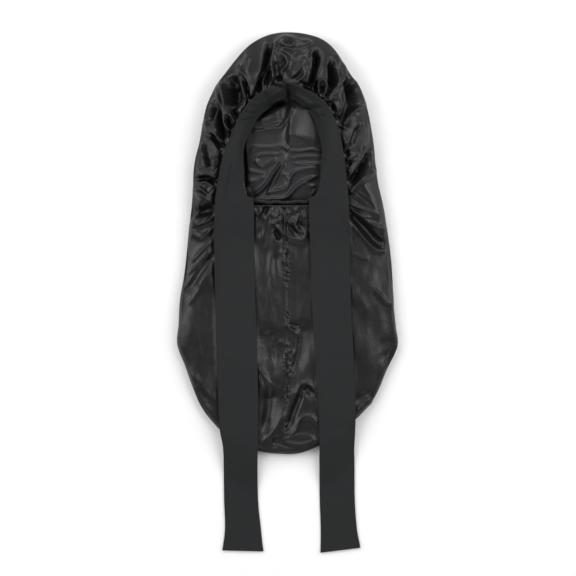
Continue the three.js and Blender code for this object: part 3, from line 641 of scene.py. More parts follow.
def front_sheet(name, outside, inside, fine):
    """The front as a closed sheet. Its rays marked fine keep all their points and the others every
    COARSE_STEP, and its inside keeps every second ray and every INSIDE_STEP."""
    rows, count = outside.shape[:2]
    used = np.zeros((rows, count), bool)
    used[::COARSE_STEP] = True
    used[:, fine] = True
    number = np.full((rows, count), -1)
    number[used] = np.arange(used.sum())
    faces = []
    for ray in range(count):
        beyond = (ray + 1) % count
        step = 1 if fine[ray] and fine[beyond] else COARSE_STEP
        for row in range(0, rows - 1, step):
            back_up = list(number[row + 1 : row + step, ray][::-1]) if fine[ray] else []
            down = list(number[row + 1 : row + step, beyond]) if fine[beyond] else []
            faces.append([number[row, ray], number[row, beyond], *down,
                          number[row + step, beyond], number[row + step, ray], *back_up])
    kept = inside[::INSIDE_STEP, ::2]
    shift = int(used.sum())
    inner_rows, inner_count = kept.shape[:2]
    faces += (loop_faces(inner_rows, inner_count)[:, ::-1] + shift).tolist()
    last_inner = shift + (inner_rows - 1) * inner_count
    for step in range(inner_count):
        following = (step + 1) % inner_count
        outer = [2 * step, 2 * step + 1, 2 * following]
        faces.append([*number[0, outer[::-1]], shift + step, shift + following])
        faces.append([*number[-1, outer], last_inner + following, last_inner + step])
    return new_object(name, np.concatenate([outside[used], kept.reshape(-1, 3)]), faces)


def back_sheet(name, grid):
    """The back as a closed sheet: the grid, the same set in by the satin's thickness, the edge that joins
    their first rows, and a fan that closes each of them inside its last row."""
    rows, count = grid.shape[:2]
    inside = grid - grid_normals(grid) * SATIN_THICK
    faces = loop_faces(rows, count)
    shift = rows * count
    step = np.arange(count)
    following = (step + 1) % count
    edge = np.stack([step, step + shift, following + shift, following], axis=-1)
    last = (rows - 1) * count
    outer_middle, inner_middle = 2 * shift, 2 * shift + 1
    fans = []
    for place in range(count):
        beyond = (place + 1) % count
        fans.append((last + place, last + beyond, outer_middle))
        fans.append((shift + last + beyond, shift + last + place, inner_middle))
    middles = [side[-1].mean(0, keepdims=True) for side in (grid, inside)]
    points = np.concatenate([grid.reshape(-1, 3), inside.reshape(-1, 3), *middles])
    return new_object(name, points, np.concatenate([faces, faces[:, ::-1] + shift, edge]).tolist() + fans)


def evened(field):
    """A grid of heights, rows by closed loop, evened out a little along both its ways."""
    rows = np.concatenate([field[:1], field, field[-1:]])
    across = (rows[:-2] + 2 * field + rows[2:]) / 4
    return (np.roll(across, 1, axis=1) + 2 * across + np.roll(across, -1, axis=1)) / 4


# The satin front: from the mouth under the band, over the gathers and the bag, to the seam along the outline.
# The grid has so many rows, crowded a little toward the rim, and so many rays to each row of the table: many
# in the crown and in the middle of the lower bag, and few at the lower bag's sides.
FRONT_ROWS, FRONT_ROWS_EVEN = 232, 0.75
COARSE_STEP, INSIDE_STEP = 3, 7
CROWN_RAYS, MIDDLE_RAYS, SIDE_RAYS = 17, 16, 6
LOWER_FROM, LOWER_TO = 16, 33
MIDDLE_FROM, MIDDLE_TO = 19, 27

# Its own shape, without the folds.
MOUTH_SINK, MOUTH_SINK_SHARE = 4, 0.3
LOWER_EDGE_RUN, CROWN_EDGE_RUN, EDGE_ROUND = 9, 46, 1.6
LOWER_SAG, LOWER_SAG_RUN = 3.5, 90
TURN_UNDER = 1.6

# What lies on it: the folds, and how they fade at both ends of a ray, the gathers at the mouth, of which the
# crown has none, and the unevenness of calm cloth.
CROWN_LEVEL, MIDDLE_LEVEL = 35, 9
CROWN_FOLD_DEPTH = 1.45
FOLD_FADE_AT_MOUTH, FOLD_FADE_AT_RIM, FOLD_LEFT_AT_RIM = 6, 0.05, 0.7
GATHER_DEPTH, GATHER_RUN = 2.6, 26
GATHER_SWAY, GATHER_SWAY_TURNS = 1.4, 7
GATHER_WAVES = [dict(length=8.5, part=0.5), dict(length=12.5, part=0.6), dict(length=6.1, part=0.25)]
CALM_STRETCH, CROWN_CALM = (1, 0.62), 0.4
CALM_WAVES = [dict(length=62, height=1.25, seed=3), dict(length=27, height=0.38, seed=8),
              dict(length=12, height=0.12, seed=15)]

# The seam down the middle of the lower front: its groove, its puckers, how their line sways, and the patches
# that the puckers come in.
SEAM_X, SEAM_TOP_Y, SEAM_FOOT_Y, SEAM_FADE = -0.9, 118, -216, 14
SEAM_GROOVE_HALF, SEAM_GROOVE_DEPTH = 1.3, 0.3
PUCKER_LENGTH, PUCKER_HALF, PUCKER_DEPTH, PUCKER_SLANT = 9.5, 4.8, 0.8, 0.35
PUCKER_SWAY, PUCKER_SWAY_LENGTH, PUCKER_SWAY_SEED = 3.6, 38, 33
PATCH_LENGTH, PATCH_SEED, PATCH_SHIFT, PATCH_GAIN, PATCH_LEAST = 46, 31, 0.1, 1.6, 0.06


def front_rays():
    """Where the rays of the front's grid lie among the table's, and which are fine: the lower bag's."""
    turns, fine = [], []
    for index in range(len(RAYS)):
        lower = LOWER_FROM <= index < LOWER_TO
        middle = MIDDLE_FROM <= index < MIDDLE_TO
        count = MIDDLE_RAYS if middle else SIDE_RAYS if lower else CROWN_RAYS
        turns += [(index + step / count) / len(RAYS) for step in range(count)]
        fine += [lower or (step == 0 and index == LOWER_TO) for step in range(count)]
    return np.array(turns), np.array(fine)


def rims_and_mouths(turns):
    """The outer and inner end of a ray on the plan, at shares from 0 to 1 of the way round."""
    return [catmull_rom(ends, turns, closed=True) for ends in zip(*RAYS)]


front_turns, fine_rays = front_rays()
rims, mouths = rims_and_mouths(front_turns)


def lowest_near(field):
    """The lowest value of a grid of heights within one cell of the front's coarser inside."""
    low = np.min([np.roll(field, shift, axis=1) for shift in (-2, -1, 0, 1, 2)], axis=0)
    padded = np.pad(low, ((INSIDE_STEP, INSIDE_STEP), (0, 0)), mode="edge")
    return np.min([padded[shift : shift + len(field)] for shift in range(2 * INSIDE_STEP + 1)], axis=0)


def gathers(inset, from_mouth, crown):
    """The small gathers that run out from the mouth, where the cloth is sewn in ruched."""
    around = np.cumsum(np.linalg.norm(np.roll(mouths, -1, axis=0) - mouths, axis=1))
    whole = around[-1]
    ripple = np.zeros(len(around))
    for wave in GATHER_WAVES:
        count = round(whole / wave["length"])
        sway = GATHER_SWAY * np.sin(FULL_TURN * around / whole * GATHER_SWAY_TURNS + count)
        ripple += wave["part"] * np.sin(FULL_TURN * count * around / whole + sway)
    depth = mix(GATHER_DEPTH, 0, crown)
    return depth * ripple[None] * np.exp(-from_mouth / GATHER_RUN) * smooth(inset / GATHER_RUN)


def calm_waves(flat, crown):
    """The slight unevenness of the satin where no fold crosses it."""
    stretched = flat * CALM_STRETCH
    waves = sum(wave["height"] * soft_noise(stretched, wave["length"], wave["seed"]) for wave in CALM_WAVES)
    return waves.reshape(crown.shape) * mix(1, CROWN_CALM, crown)


def seam_puckers(flat):
    """The puckers beside the seam down the middle of the lower front, in patches, and its soft groove."""
    aside = flat[:, 0] - SEAM_X
    patches = (soft_noise(flat, PATCH_LENGTH, PATCH_SEED) + PATCH_SHIFT) * PATCH_GAIN
    patches = np.clip(patches, PATCH_LEAST, 1)
    sway = PUCKER_SWAY * soft_noise(flat, PUCKER_SWAY_LENGTH, PUCKER_SWAY_SEED)
    turn = FULL_TURN * flat[:, 1] / PUCKER_LENGTH + sway
    ripple = np.sin(turn + PUCKER_SLANT * aside) * np.exp(-((aside / PUCKER_HALF) ** 2))
    groove = SEAM_GROOVE_DEPTH * np.exp(-((aside / SEAM_GROOVE_HALF) ** 2))
    along = smooth((SEAM_TOP_Y - flat[:, 1]) / SEAM_FADE) * smooth((flat[:, 1] - SEAM_FOOT_Y) / SEAM_FADE)
    return (PUCKER_DEPTH * ripple * patches - groove) * along


def front_height(inset, share, crown):
    """The height of the front without its folds, in from the rim."""
    top = mix(LOWER_TOP, CROWN_TOP, crown)
    rim_height = mix(LOWER_RIM, CROWN_RIM, crown)
    sink = MOUTH_SINK * crown * (1 - smooth(share / MOUTH_SINK_SHARE))
    rise = 1 - np.clip(1 - inset / mix(LOWER_EDGE_RUN, CROWN_EDGE_RUN, crown), 0, 1) ** EDGE_ROUND
    turned = TURN_UNDER * (1 - np.sqrt(1 - np.clip(1 - inset / TURN_UNDER, 0, 1) ** 2))
    sag = LOWER_SAG * (1 - crown) * (1 - smooth(inset / LOWER_SAG_RUN))
    return rim_height + (top - sink - sag - rim_height) * rise - turned


def front_grid():
    """The satin front as rows from the mouth to the rim, in millimetres: its outside and its inside."""
    step = np.linspace(0, 1, FRONT_ROWS)
    crowded = (1 - FRONT_ROWS_EVEN) * np.sin(step * math.pi / 2)
    share = (FRONT_ROWS_EVEN * step + crowded)[:, None]
    plan = mouths[None] + (rims - mouths)[None] * share[..., None]
    crown = crown_share(plan[..., 1])
    span = np.linalg.norm(rims - mouths, axis=1)[None]
    inset, from_mouth = (1 - share) * span, share * span
    base = np.concatenate([plan, front_height(inset, share, crown)[..., None]], axis=-1)

    flat = plan.reshape(-1, 2)
    folds = fold_heights(flat, CROWN_FOLDS, CROWN_LEVEL) + fold_heights(flat, MIDDLE_FOLDS, MIDDLE_LEVEL)
    at_rim = mix(FOLD_LEFT_AT_RIM, 1, smooth((1 - share) / FOLD_FADE_AT_RIM))
    fade = smooth(from_mouth / FOLD_FADE_AT_MOUTH) * at_rim * clear_of_ties(flat).reshape(crown.shape)
    lift = evened(folds.reshape(crown.shape) * mix(1, CROWN_FOLD_DEPTH, crown) * fade)
    lift += (gathers(inset, from_mouth, crown) + calm_waves(flat, crown)) * fade
    lift += seam_puckers(flat).reshape(crown.shape) * fade
    normals = grid_normals(base)
    inside = base + normals * (lowest_near(lift) - SATIN_THICK)[..., None]
    return base + normals * lift[..., None], inside


# The satin back: in from the seam to the floor, and dense under the opening, where its inside shows. Its rows
# crowd toward the rim, and it rises on a curve from the floor to the seam.
BACK_RAYS = 480
BACK_ROWS_OUT, BACK_ROWS_IN, BACK_ROWS_END = 24, 70, 0.97
BACK_CROWDING, BACK_CURVE = 1.5, 2

# The hump of cloth that shows inside the opening. How far it and its wrinkles reach and fade is counted in
# its half sizes, and they start at the share LIFT_FROM of FLOOR_RUN in from the rim.
INSIDE_CENTER, INSIDE_HALF = (-8, 196), (62, 88)
INSIDE_RISE, HUMP_REACH, HUMP_RUN = 16, 1.45, 0.5
INSIDE_LOW_Y, INSIDE_LOW_RUN = 85, 60
INSIDE_FOLD_DEPTH, WRINKLE_REACH, WRINKLE_RUN = 1.2, 1.5, 0.3
INSIDE_WAVE = dict(height=0.7, length=38, seed=5)
LIFT_FROM = 0.5


def back_grid():
    """The back's outside as rows from the rim to the middle of the opening, the floor side at its lowest."""
    rim, mouth = rims_and_mouths(np.arange(BACK_RAYS) / BACK_RAYS)
    center = np.array(INSIDE_CENTER)
    out = np.linspace(0, 1, BACK_ROWS_OUT, endpoint=False)[:, None, None] ** BACK_CROWDING
    inner = np.linspace(0, BACK_ROWS_END, BACK_ROWS_IN)[:, None, None]
    plan = np.concatenate([rim + (mouth - rim) * out, mouth + (center - mouth) * inner])
    inset = np.linalg.norm(plan - rim[None], axis=-1)
    rim_height = mix(LOWER_RIM, CROWN_RIM, crown_share(rim[:, 1]))[None]
    height = rim_height * np.clip(1 - inset / FLOOR_RUN, 0, 1) ** BACK_CURVE
    flat = plan.reshape(-1, 2)
    wave = INSIDE_WAVE["height"] * soft_noise(flat, INSIDE_WAVE["length"], INSIDE_WAVE["seed"])
    wrinkles = INSIDE_FOLD_DEPTH * fold_heights(flat, INSIDE_FOLDS) + wave
    off_center = np.linalg.norm((plan - center) / np.array(INSIDE_HALF), axis=-1)
    hump = INSIDE_RISE * smooth((HUMP_REACH - off_center) / HUMP_RUN)
    hump = hump * smooth((plan[..., 1] - INSIDE_LOW_Y) / INSIDE_LOW_RUN)
    lift = hump + wrinkles.reshape(height.shape) * smooth((WRINKLE_REACH - off_center) / WRINKLE_RUN)
    held = height + lift * smooth(inset / FLOOR_RUN - LIFT_FROM)
    return np.concatenate([plan, np.maximum(held, 0)[..., None]], axis=-1)


front, front_inside = front_grid()
satin_front = front_sheet("satin_front_cloth", front, front_inside, fine_rays)
satin_back = back_sheet("satin_back_cloth", back_grid())

# The flat ties, each with its half of the band round the opening. The levels are where a tie shows in the
# photograph, and the nose is the rounding of its edges.
TIE_SECTIONS, TIE_ACROSS = 660, 31
OUTER_THIRD = TIE_ACROSS // 3
FLOOR_LEVEL, LOWER_TIE_LEVEL, BAND_LEVEL = -10, 8, 40
TIES_LEAVE_Y, TIES_LEAVE_RUN = -262, 40
NOSE_STEPS, NOSE_MOST, NOSE_SHARE = 5, 3.5, 0.8

# How a tie hangs over what is under it.
DRAPE_RADIUS, UNDER_CELL, SHORT_OF_LAST = 8, 2, 1.001
TIE_CLEARANCE, CLEARANCE_RUN = 0.5, 4
DRAPE_SPREAD, HANG_SPREAD, BAND_SPREAD = 6, 13, 16
TIE_PRESS, TIE_SLOPE, BLEND_RUN = 2.5, 0.3, 40
OPENING_STARTS_Y, OPENING_BLEND = 104, 40

# The band's dip toward the opening and the roll of its inner edge, at its sides and at its top.
BAND_DIP, BAND_TURN = 9, 5
TOP_DIP, TOP_TURN = 22, 1.4
TOP_STARTS_Y, TOP_BLEND = 225, 45
ROLL_DEPTH, TOP_ROLL_DEPTH, ROLL_FROM = 7, 3, 0.3

# The relief of a tie's top: its arch, its waves, which fade over one part in WAVE_FADE_PART of its width at
# each edge, the ridge of the seam along its outer edge, and its hem.
TIE_ARCH, TIE_ARCH_POWER = 0.35, 4
TIE_WAVES = [dict(length=90, height=0.35), dict(length=34, height=0.28)]
WAVE_FADE_PART = 8
SEAM_RIDGE, SEAM_RIDGE_IN, SEAM_RIDGE_HALF = 1.1, 1.6, 1.2
HEM_RUN, HEM_BLEND, HEM_EXTRA = 7, 1.2, 0.7
HEM_GROOVE, HEM_GROOVE_IN, HEM_GROOVE_HALF = 0.45, 1.5, 0.8


def highest_under(spots, radius):
    """The highest that the satin front reaches within a radius of each place of the plan, or 0 off it."""
    points = front.reshape(-1, 3)
    low = points[:, :2].min(0) - 2 * radius
    cells = np.ceil((points[:, :2].max(0) + 2 * radius - low) / UNDER_CELL).astype(int) + 1
    heights = np.zeros(cells)
    column, row = ((points[:, :2] - low) / UNDER_CELL).astype(int).T
    np.maximum.at(heights, (column, row), points[:, 2])
    reach = round(radius / UNDER_CELL)
    for axis in (0, 1):
        heights = np.max([np.roll(heights, shift, axis) for shift in range(-reach, reach + 1)], axis=0)
    place = np.clip((spots - low) / UNDER_CELL, 0, cells - SHORT_OF_LAST)
    column, row = place.astype(int).T
    across, along = (place - place.astype(int)).T
    first = mix(heights[column, row], heights[column + 1, row], across)
    second = mix(heights[column, row + 1], heights[column + 1, row + 1], across)
    return mix(first, second, along)


def evened_along(field, steps, spread):
    """Heights of a strip's sections, evened out along it over a spread in millimetres."""
    place = np.concatenate([[0], np.cumsum(steps)])
    weight = np.exp(-(((place[:, None] - place[None]) / spread) ** 2))
    return (weight / weight.sum(axis=1, keepdims=True)) @ field


def slope_limited(heights, steps, slope):
    """Heights along a strip, raised so that none falls away from its neighbours faster than the slope."""
    held = heights.copy()
    for index in range(1, len(held)):
        held[index] = np.maximum(held[index], held[index - 1] - slope * steps[index - 1])
    for index in range(len(held) - 2, -1, -1):
        held[index] = np.maximum(held[index], held[index + 1] - slope * steps[index])
    return held


def band_share(y):
    """How much a place of a tie belongs to the band round the opening, from 0 on the flat tie to 1."""
    return smooth((y - BAND_ENDS_Y) / (BAND_FULL_Y - BAND_ENDS_Y))


def tie_edges(rows):
    """The outer and inner edge of a tie's sections on the plan, each set in by its nose, and the level at
    which the sections show in the photograph."""
    along = np.linspace(0, 1, TIE_SECTIONS)
    outer, inner = (catmull_rom(edge, along, closed=False) for edge in zip(*rows))
    y = outer[:, 1:]
    level = mix(LOWER_TIE_LEVEL, BAND_LEVEL, crown_share(y))
    level = mix(FLOOR_LEVEL, level, smooth((y - TIES_LEAVE_Y) / TIES_LEAVE_RUN))
    outer, inner = at_level(outer, level), at_level(inner, level)
    way_in = (inner - outer) / np.linalg.norm(inner - outer, axis=1, keepdims=True)
    inner_nose = mix(TIE_THICK / 2, NOSE_MOST, band_share(outer[:, 1:]))
    outer = outer + way_in * NOSE_SHARE * TIE_THICK / 2
    inner = inner - way_in * NOSE_SHARE * inner_nose
    return outer, inner, level


def tie_base(plan, share, y, steps, dip):
    """The height of a tie's underside: draped over the bag, lifted and dipped where it is the band."""
    under = highest_under(plan.reshape(-1, 2), DRAPE_RADIUS).reshape(plan.shape[:2])
    edge_height = under[:, :OUTER_THIRD].max(axis=1, keepdims=True)
    pressed = evened_along(under, steps, DRAPE_SPREAD)
    draped = evened_along(slope_limited(pressed, steps, TIE_SLOPE), steps, HANG_SPREAD)
    banded = np.repeat(evened_along(edge_height, steps, BAND_SPREAD), TIE_ACROSS, axis=1) - dip
    base = mix(draped, banded, smooth((y - OPENING_STARTS_Y) / OPENING_BLEND))
    base += TIE_CLEARANCE * smooth(draped / CLEARANCE_RUN)
    upper = np.maximum(evened_along(base, steps, BAND_SPREAD), pressed - TIE_PRESS)
    return mix(base, upper, smooth(y / BLEND_RUN))


def make_tie(name, rows, seed, turned):
    """One flat tie as a closed strip: draped over the bag, dipped and rolled under round the opening."""
    outer, inner, level = tie_edges(rows)
    y = outer[:, 1:]
    share = np.linspace(0, 1, TIE_ACROSS)[None]
    plan = outer[:, None] + (inner - outer)[:, None] * share[..., None]
    flat = plan.reshape(-1, 2)
    steps = np.linalg.norm(np.diff(plan.mean(1), axis=0), axis=1)
    band = band_share(y)
    at_top = smooth((y - TOP_STARTS_Y) / TOP_BLEND)
    dip = mix(BAND_DIP * share**BAND_TURN, TOP_DIP * share**TOP_TURN, at_top) * band
    base = tie_base(plan, share, y, steps, dip)

    arch = TIE_ARCH * (1 - (2 * share - 1) ** TIE_ARCH_POWER)
    waves = sum(wave["height"] * soft_noise(flat, wave["length"], seed) for wave in TIE_WAVES)
    waves = np.maximum(waves.reshape(base.shape), -base)
    waves = waves * smooth((1 - share) * WAVE_FADE_PART) * smooth(share * WAVE_FADE_PART)
    from_outer = share * np.linalg.norm(inner - outer, axis=1)[:, None]
    ridge = SEAM_RIDGE * np.exp(-(((from_outer - SEAM_RIDGE_IN) / SEAM_RIDGE_HALF) ** 2)) * band
    creases = fold_heights(flat, BAND_FOLDS, level.mean()).reshape(base.shape)
    top = base + TIE_THICK + arch + waves + ridge + creases

    to_end = np.concatenate([np.cumsum(steps[::-1])[::-1], [0]])[:, None]
    hem = smooth((HEM_RUN - to_end) / HEM_BLEND + 1) * HEM_EXTRA
    groove = HEM_GROOVE * np.exp(-(((to_end - HEM_RUN + HEM_GROOVE_IN) / HEM_GROOVE_HALF) ** 2))
    top = top + hem - groove
    roll = mix(ROLL_DEPTH, TOP_ROLL_DEPTH, at_top) * band * smooth((share - ROLL_FROM) / (1 - ROLL_FROM))
    bottom = np.maximum(top - (TIE_THICK + hem + roll), 0)

    ways = (inner - outer) / np.linalg.norm(inner - outer, axis=1, keepdims=True)
    loops = [strip_loop(*section) for section in zip(plan, top, bottom, ways)]
    return tube(name, np.array(loops), turn_sides=turned, turn_caps=not turned)


def strip_loop(plan, top, bottom, way):
    """The closed section of a strip: over its top, round the inner edge, back under and round the outer."""
    def nose(place, high, low, outward):
        turn = np.linspace(0, math.pi, NOSE_STEPS + 2)[1:-1]
        middle, half = (high + low) / 2, (high - low) / 2
        bulge = np.minimum(half, NOSE_MOST) * NOSE_SHARE
        flat = place[None] + outward[None] * (np.sin(turn) * bulge)[:, None]
        return np.column_stack([flat, middle + half * np.cos(turn)])

    over = np.column_stack([plan, top])
    under = np.column_stack([plan, bottom])[::-1]
    inner_nose = nose(plan[-1], top[-1], bottom[-1], way)
    outer_nose = nose(plan[0], bottom[0], top[0], -way)
    return np.concatenate([over, inner_nose, under, outer_nose])


tie_left = make_tie("tie_left_cloth", TIE_LEFT, seed=14, turned=True)
tie_right = make_tie("tie_right_cloth", TIE_RIGHT, seed=15, turned=False)

# The ruched casing across the nape: places right and down in the photograph, in pixels, and heights in mm.
CASING_PATH = [
    (251.3, 198.7, 24.5), (255, 201, 24.5), (262.7, 201.9, 24.2), (270, 202.8, 24), (276, 202.2, 23.5),
    (282, 203, 23.5), (290, 202.7, 24), (299, 201.7, 24.2), (306, 202.3, 24.5), (312.3, 199, 24.5),
]
CASING_SECTIONS, CASING_SIDES = 260, 18
CASING_HALF_DEPTH, CASING_HALF_HEIGHT, CASING_SLACK = 3.6, 3.8, 0.1
CASING_CREST, CASING_CREST_TURN, CASING_CREST_HALF = 0.35, 2.2, 0.3

# Its puckers: how many, what makes them uneven, how deep the large and the fine ones are, and how they lean.
CASING_PUCKERS = 19
CASING_UNEVEN = [dict(size=2.2, turns=3.3, start=0), dict(size=1.4, turns=7.1, start=1)]
PUCKERS_DEEP, PUCKERS_TWIST, PUCKERS_DRIFT = 0.06, 1.3, 9
FINE_DEEP, FINE_MORE, FINE_LEAN = 0.04, 2.3, 2


def make_casing():
    """The casing as a tube round its path, with a crest along its upper side."""
    place = np.array(CASING_PATH)
    route = np.column_stack([photo(place[:, :2]), place[:, 2]])
    share = np.linspace(0, 1, CASING_SECTIONS)
    center = catmull_rom(route, share, closed=False)
    forward = np.gradient(center, axis=0)
    side = np.column_stack([forward[:, 1], -forward[:, 0], np.zeros(len(forward))])
    side /= np.linalg.norm(side, axis=1, keepdims=True)
    angle = np.linspace(0, FULL_TURN, CASING_SIDES, endpoint=False)[None]
    run = share[:, None]
    uneven = sum(row["size"] * np.sin(FULL_TURN * row["turns"] * run + row["start"]) for row in CASING_UNEVEN)
    twist = PUCKERS_TWIST * np.sin(angle + PUCKERS_DRIFT * run)
    pucker = PUCKERS_DEEP * np.cos(FULL_TURN * CASING_PUCKERS * run + uneven + twist)
    pucker += FINE_DEEP * np.cos(FULL_TURN * FINE_MORE * CASING_PUCKERS * run + uneven + FINE_LEAN * angle)
    size = 1 - CASING_SLACK + pucker
    lip = 1 + CASING_CREST * np.exp(-(((angle - CASING_CREST_TURN) / CASING_CREST_HALF) ** 2))
    points = center[:, None] + side[:, None] * (CASING_HALF_DEPTH * np.cos(angle) * size)[..., None]
    points[..., 2] += CASING_HALF_HEIGHT * np.sin(angle) * size * lip
    return tube("nape_casing_cloth", points)


# The small gathered knots at its two ends: their places in the photograph, their turns in degrees, their half
# sizes and height in mm, and how their pleats and dents run.
KNOTS = [dict(name="knot_left", at=(249, 191), turn=10), dict(name="knot_right", at=(313.4, 192.5), turn=-25)]
KNOT_HEIGHT, KNOT_HALF = 29, (3.2, 6.2, 3.6)
KNOT_RINGS, KNOT_SIDES = 28, 40
PLEATS, PLEAT_DEPTH, PLEAT_TWIST = 7, 0.16, 1.5
DENT_DEPTH, DENTS_ALONG, DENTS_ROUND = 0.1, 3, 2


def make_knot(name, at, turn):
    """A small gathered knot of satin, pleated along its length and pinched unevenly."""
    x, y = photo(at)
    tilt = math.radians(turn)
    points = []
    for ring in range(KNOT_RINGS):
        rise = math.pi * (ring + 0.5) / KNOT_RINGS
        for step in range(KNOT_SIDES):
            angle = FULL_TURN * step / KNOT_SIDES
            pleat = 1 + PLEAT_DEPTH * math.cos(PLEATS * angle + PLEAT_TWIST * rise)
            pleat += DENT_DEPTH * math.sin(DENTS_ALONG * rise + DENTS_ROUND * angle + x)
            across = KNOT_HALF[0] * math.sin(rise) * math.cos(angle) * pleat
            lengthwise = KNOT_HALF[1] * math.cos(rise)
            up = KNOT_HALF[2] * math.sin(rise) * math.sin(angle) * pleat
            points.append((x + across * math.cos(tilt) - lengthwise * math.sin(tilt),
                           y + across * math.sin(tilt) + lengthwise * math.cos(tilt),
                           KNOT_HEIGHT + up))
    return tube(name, np.array(points).reshape(KNOT_RINGS, KNOT_SIDES, 3))


casing = make_casing()
knots = [make_knot(**row) for row in KNOTS]


# Materials.
def new_material(name, base, roughness):
    made = bpy.data.materials.new(name)
    made.use_nodes = True
    shader = made.node_tree.nodes["Principled BSDF"]
    shader.inputs["Base Color"].default_value = (*base, 1)
    shader.inputs["Roughness"].default_value = roughness
    return made, made.node_tree, shader


def set_inputs(node, values):
    for socket, value in values.items():
        node.inputs[socket].default_value = value


def link(tree, source, target):
    tree.links.new(source, target)


def noise_node(tree, vector, scale, detail, stretch=(1, 1, 1)):
    mapping = tree.nodes.new("ShaderNodeMapping")
    mapping.inputs["Scale"].default_value = stretch
    link(tree, vector, mapping.inputs["Vector"])
    noise = tree.nodes.new("ShaderNodeTexNoise")
    set_inputs(noise, {"Scale": scale, "Detail": detail})
    link(tree, mapping.outputs["Vector"], noise.inputs["Vector"])
    return noise.outputs["Fac"]


def bump_node(tree, height, strength, distance, below=None):
    bump = tree.nodes.new("ShaderNodeBump")
    if isinstance(strength, (int, float)):
        bump.inputs["Strength"].default_value = strength
    else:
        link(tree, strength, bump.inputs["Strength"])
    bump.inputs["Distance"].default_value = distance
    link(tree, height, bump.inputs["Height"])
    if below is not None:
        link(tree, below, bump.inputs["Normal"])
    return bump.outputs["Normal"]


def math_node(tree, operation, *values):
    node = tree.nodes.new("ShaderNodeMath")
    node.operation = operation
    for socket, value in zip(node.inputs, values):
        if isinstance(value, (int, float)):
            socket.default_value = value
        else:
            link(tree, value, socket)
    return node.outputs["Value"]


# The finest puckers and the stitched line of the seam, which are finer than the mesh, in metres. The noises'
# scales are in waves a metre, the sway is in radians and the slant in radians a metre.
FINE_LENGTH, FINE_HALF, FINE_DEPTH = 0.013, 0.0034, 0.0011
FINE_SWAY, FINE_SLANT = 34, 190
FINE_SWAY_NOISE, FINE_PATCH_NOISE = dict(scale=38, detail=2), dict(scale=34, detail=1)
FINE_PATCH_MIDDLE, FINE_PATCH_GAIN, FINE_PATCH_LEAST = 0.5, 9, 0.05
STITCH_HALF, STITCH_DEPTH = 0.0007, 0.0007


def seam_height(tree, place):
    """The height of the finest puckers beside the seam, in metres, and 0 away from it."""
    calc = partial(math_node, tree)
    axes = tree.nodes.new("ShaderNodeSeparateXYZ")
    link(tree, place, axes.inputs["Vector"])
    x, y = axes.outputs["X"], axes.outputs["Y"]
    sway = noise_node(tree, place, **FINE_SWAY_NOISE)
    aside = calc("SUBTRACT", x, SEAM_X * MM)

    def hill(half):
        ratio = calc("DIVIDE", aside, half)
        return calc("EXPONENT", calc("MULTIPLY", calc("POWER", ratio, 2), -1))

    turn = calc("ADD", calc("MULTIPLY", y, FULL_TURN / FINE_LENGTH), calc("MULTIPLY", sway, FINE_SWAY))
    ripple = calc("SINE", calc("ADD", turn, calc("MULTIPLY", aside, FINE_SLANT)))
    patches = calc("SUBTRACT", noise_node(tree, place, **FINE_PATCH_NOISE), FINE_PATCH_MIDDLE)
    patches = calc("MULTIPLY", patches, FINE_PATCH_GAIN)
    patches = calc("MINIMUM", calc("MAXIMUM", patches, FINE_PATCH_LEAST), 1)
    uneven = calc("MULTIPLY", patches, FINE_DEPTH)
    puckers = calc("MULTIPLY", calc("MULTIPLY", ripple, hill(FINE_HALF)), uneven)
    groove = calc("MULTIPLY", hill(STITCH_HALF), -STITCH_DEPTH)
    below_top = calc("LESS_THAN", y, SEAM_TOP_Y * MM)
    above_foot = calc("GREATER_THAN", y, SEAM_FOOT_Y * MM)
    along = calc("MULTIPLY", below_top, above_foot)
    return calc("MULTIPLY", calc("ADD", puckers, groove), along)


# The satins: their blacks and shines, the creases finer than the mesh, which are calmer in the crown, and the
# threads. Bump distances are in metres.
OUTSIDE_BLACK, OUTSIDE_SHINE = (0.004, 0.004, 0.0045), 0.42
# The inside satin's black and shine are painted light: lighter and shinier than the outside's, in place of
# the light that the band shades off the opening.
INSIDE_BLACK_PAINTED_LIGHTER, INSIDE_SHINE_PAINTED_BRIGHTER = (0.0095, 0.0092, 0.0112), 0.5
SATIN_ROUGHNESS, SATIN_GRAIN = 0.4, 0.35
CREASES, CREASE_BUMP = dict(scale=60, detail=4, stretch=(1, 0.6, 1)), 0.0024
CREASE_STRENGTH = {"From Min": 0.02, "From Max": 0.14, "To Min": 0.5, "To Max": 0.15}
THREADS, THREAD_BUMP = dict(scale=700, detail=2, stretch=(1, 0.3, 1)), dict(strength=0.7, distance=0.0003)


def satin_material(name, base, shine, seamed):
    made, tree, shader = new_material(name, base, SATIN_ROUGHNESS)
    set_inputs(shader, {"Specular IOR Level": shine, "Anisotropic": SATIN_GRAIN})
    threads_run = tree.nodes.new("ShaderNodeTangent")
    threads_run.direction_type = "UV_MAP"
    threads_run.uv_map = "cloth"
    link(tree, threads_run.outputs["Tangent"], shader.inputs["Tangent"])
    place = tree.nodes.new("ShaderNodeTexCoord").outputs["Object"]
    creases = noise_node(tree, place, **CREASES)
    threads = noise_node(tree, place, **THREADS)
    axes = tree.nodes.new("ShaderNodeSeparateXYZ")
    link(tree, place, axes.inputs["Vector"])
    calm = tree.nodes.new("ShaderNodeMapRange")
    link(tree, axes.outputs["Y"], calm.inputs["Value"])
    set_inputs(calm, CREASE_STRENGTH)
    normal = bump_node(tree, creases, calm.outputs["Result"], CREASE_BUMP)
    normal = bump_node(tree, threads, **THREAD_BUMP, below=normal)
    if seamed:
        normal = bump_node(tree, seam_height(tree, place), 1, 1, normal)
    link(tree, normal, shader.inputs["Normal"])
    return made


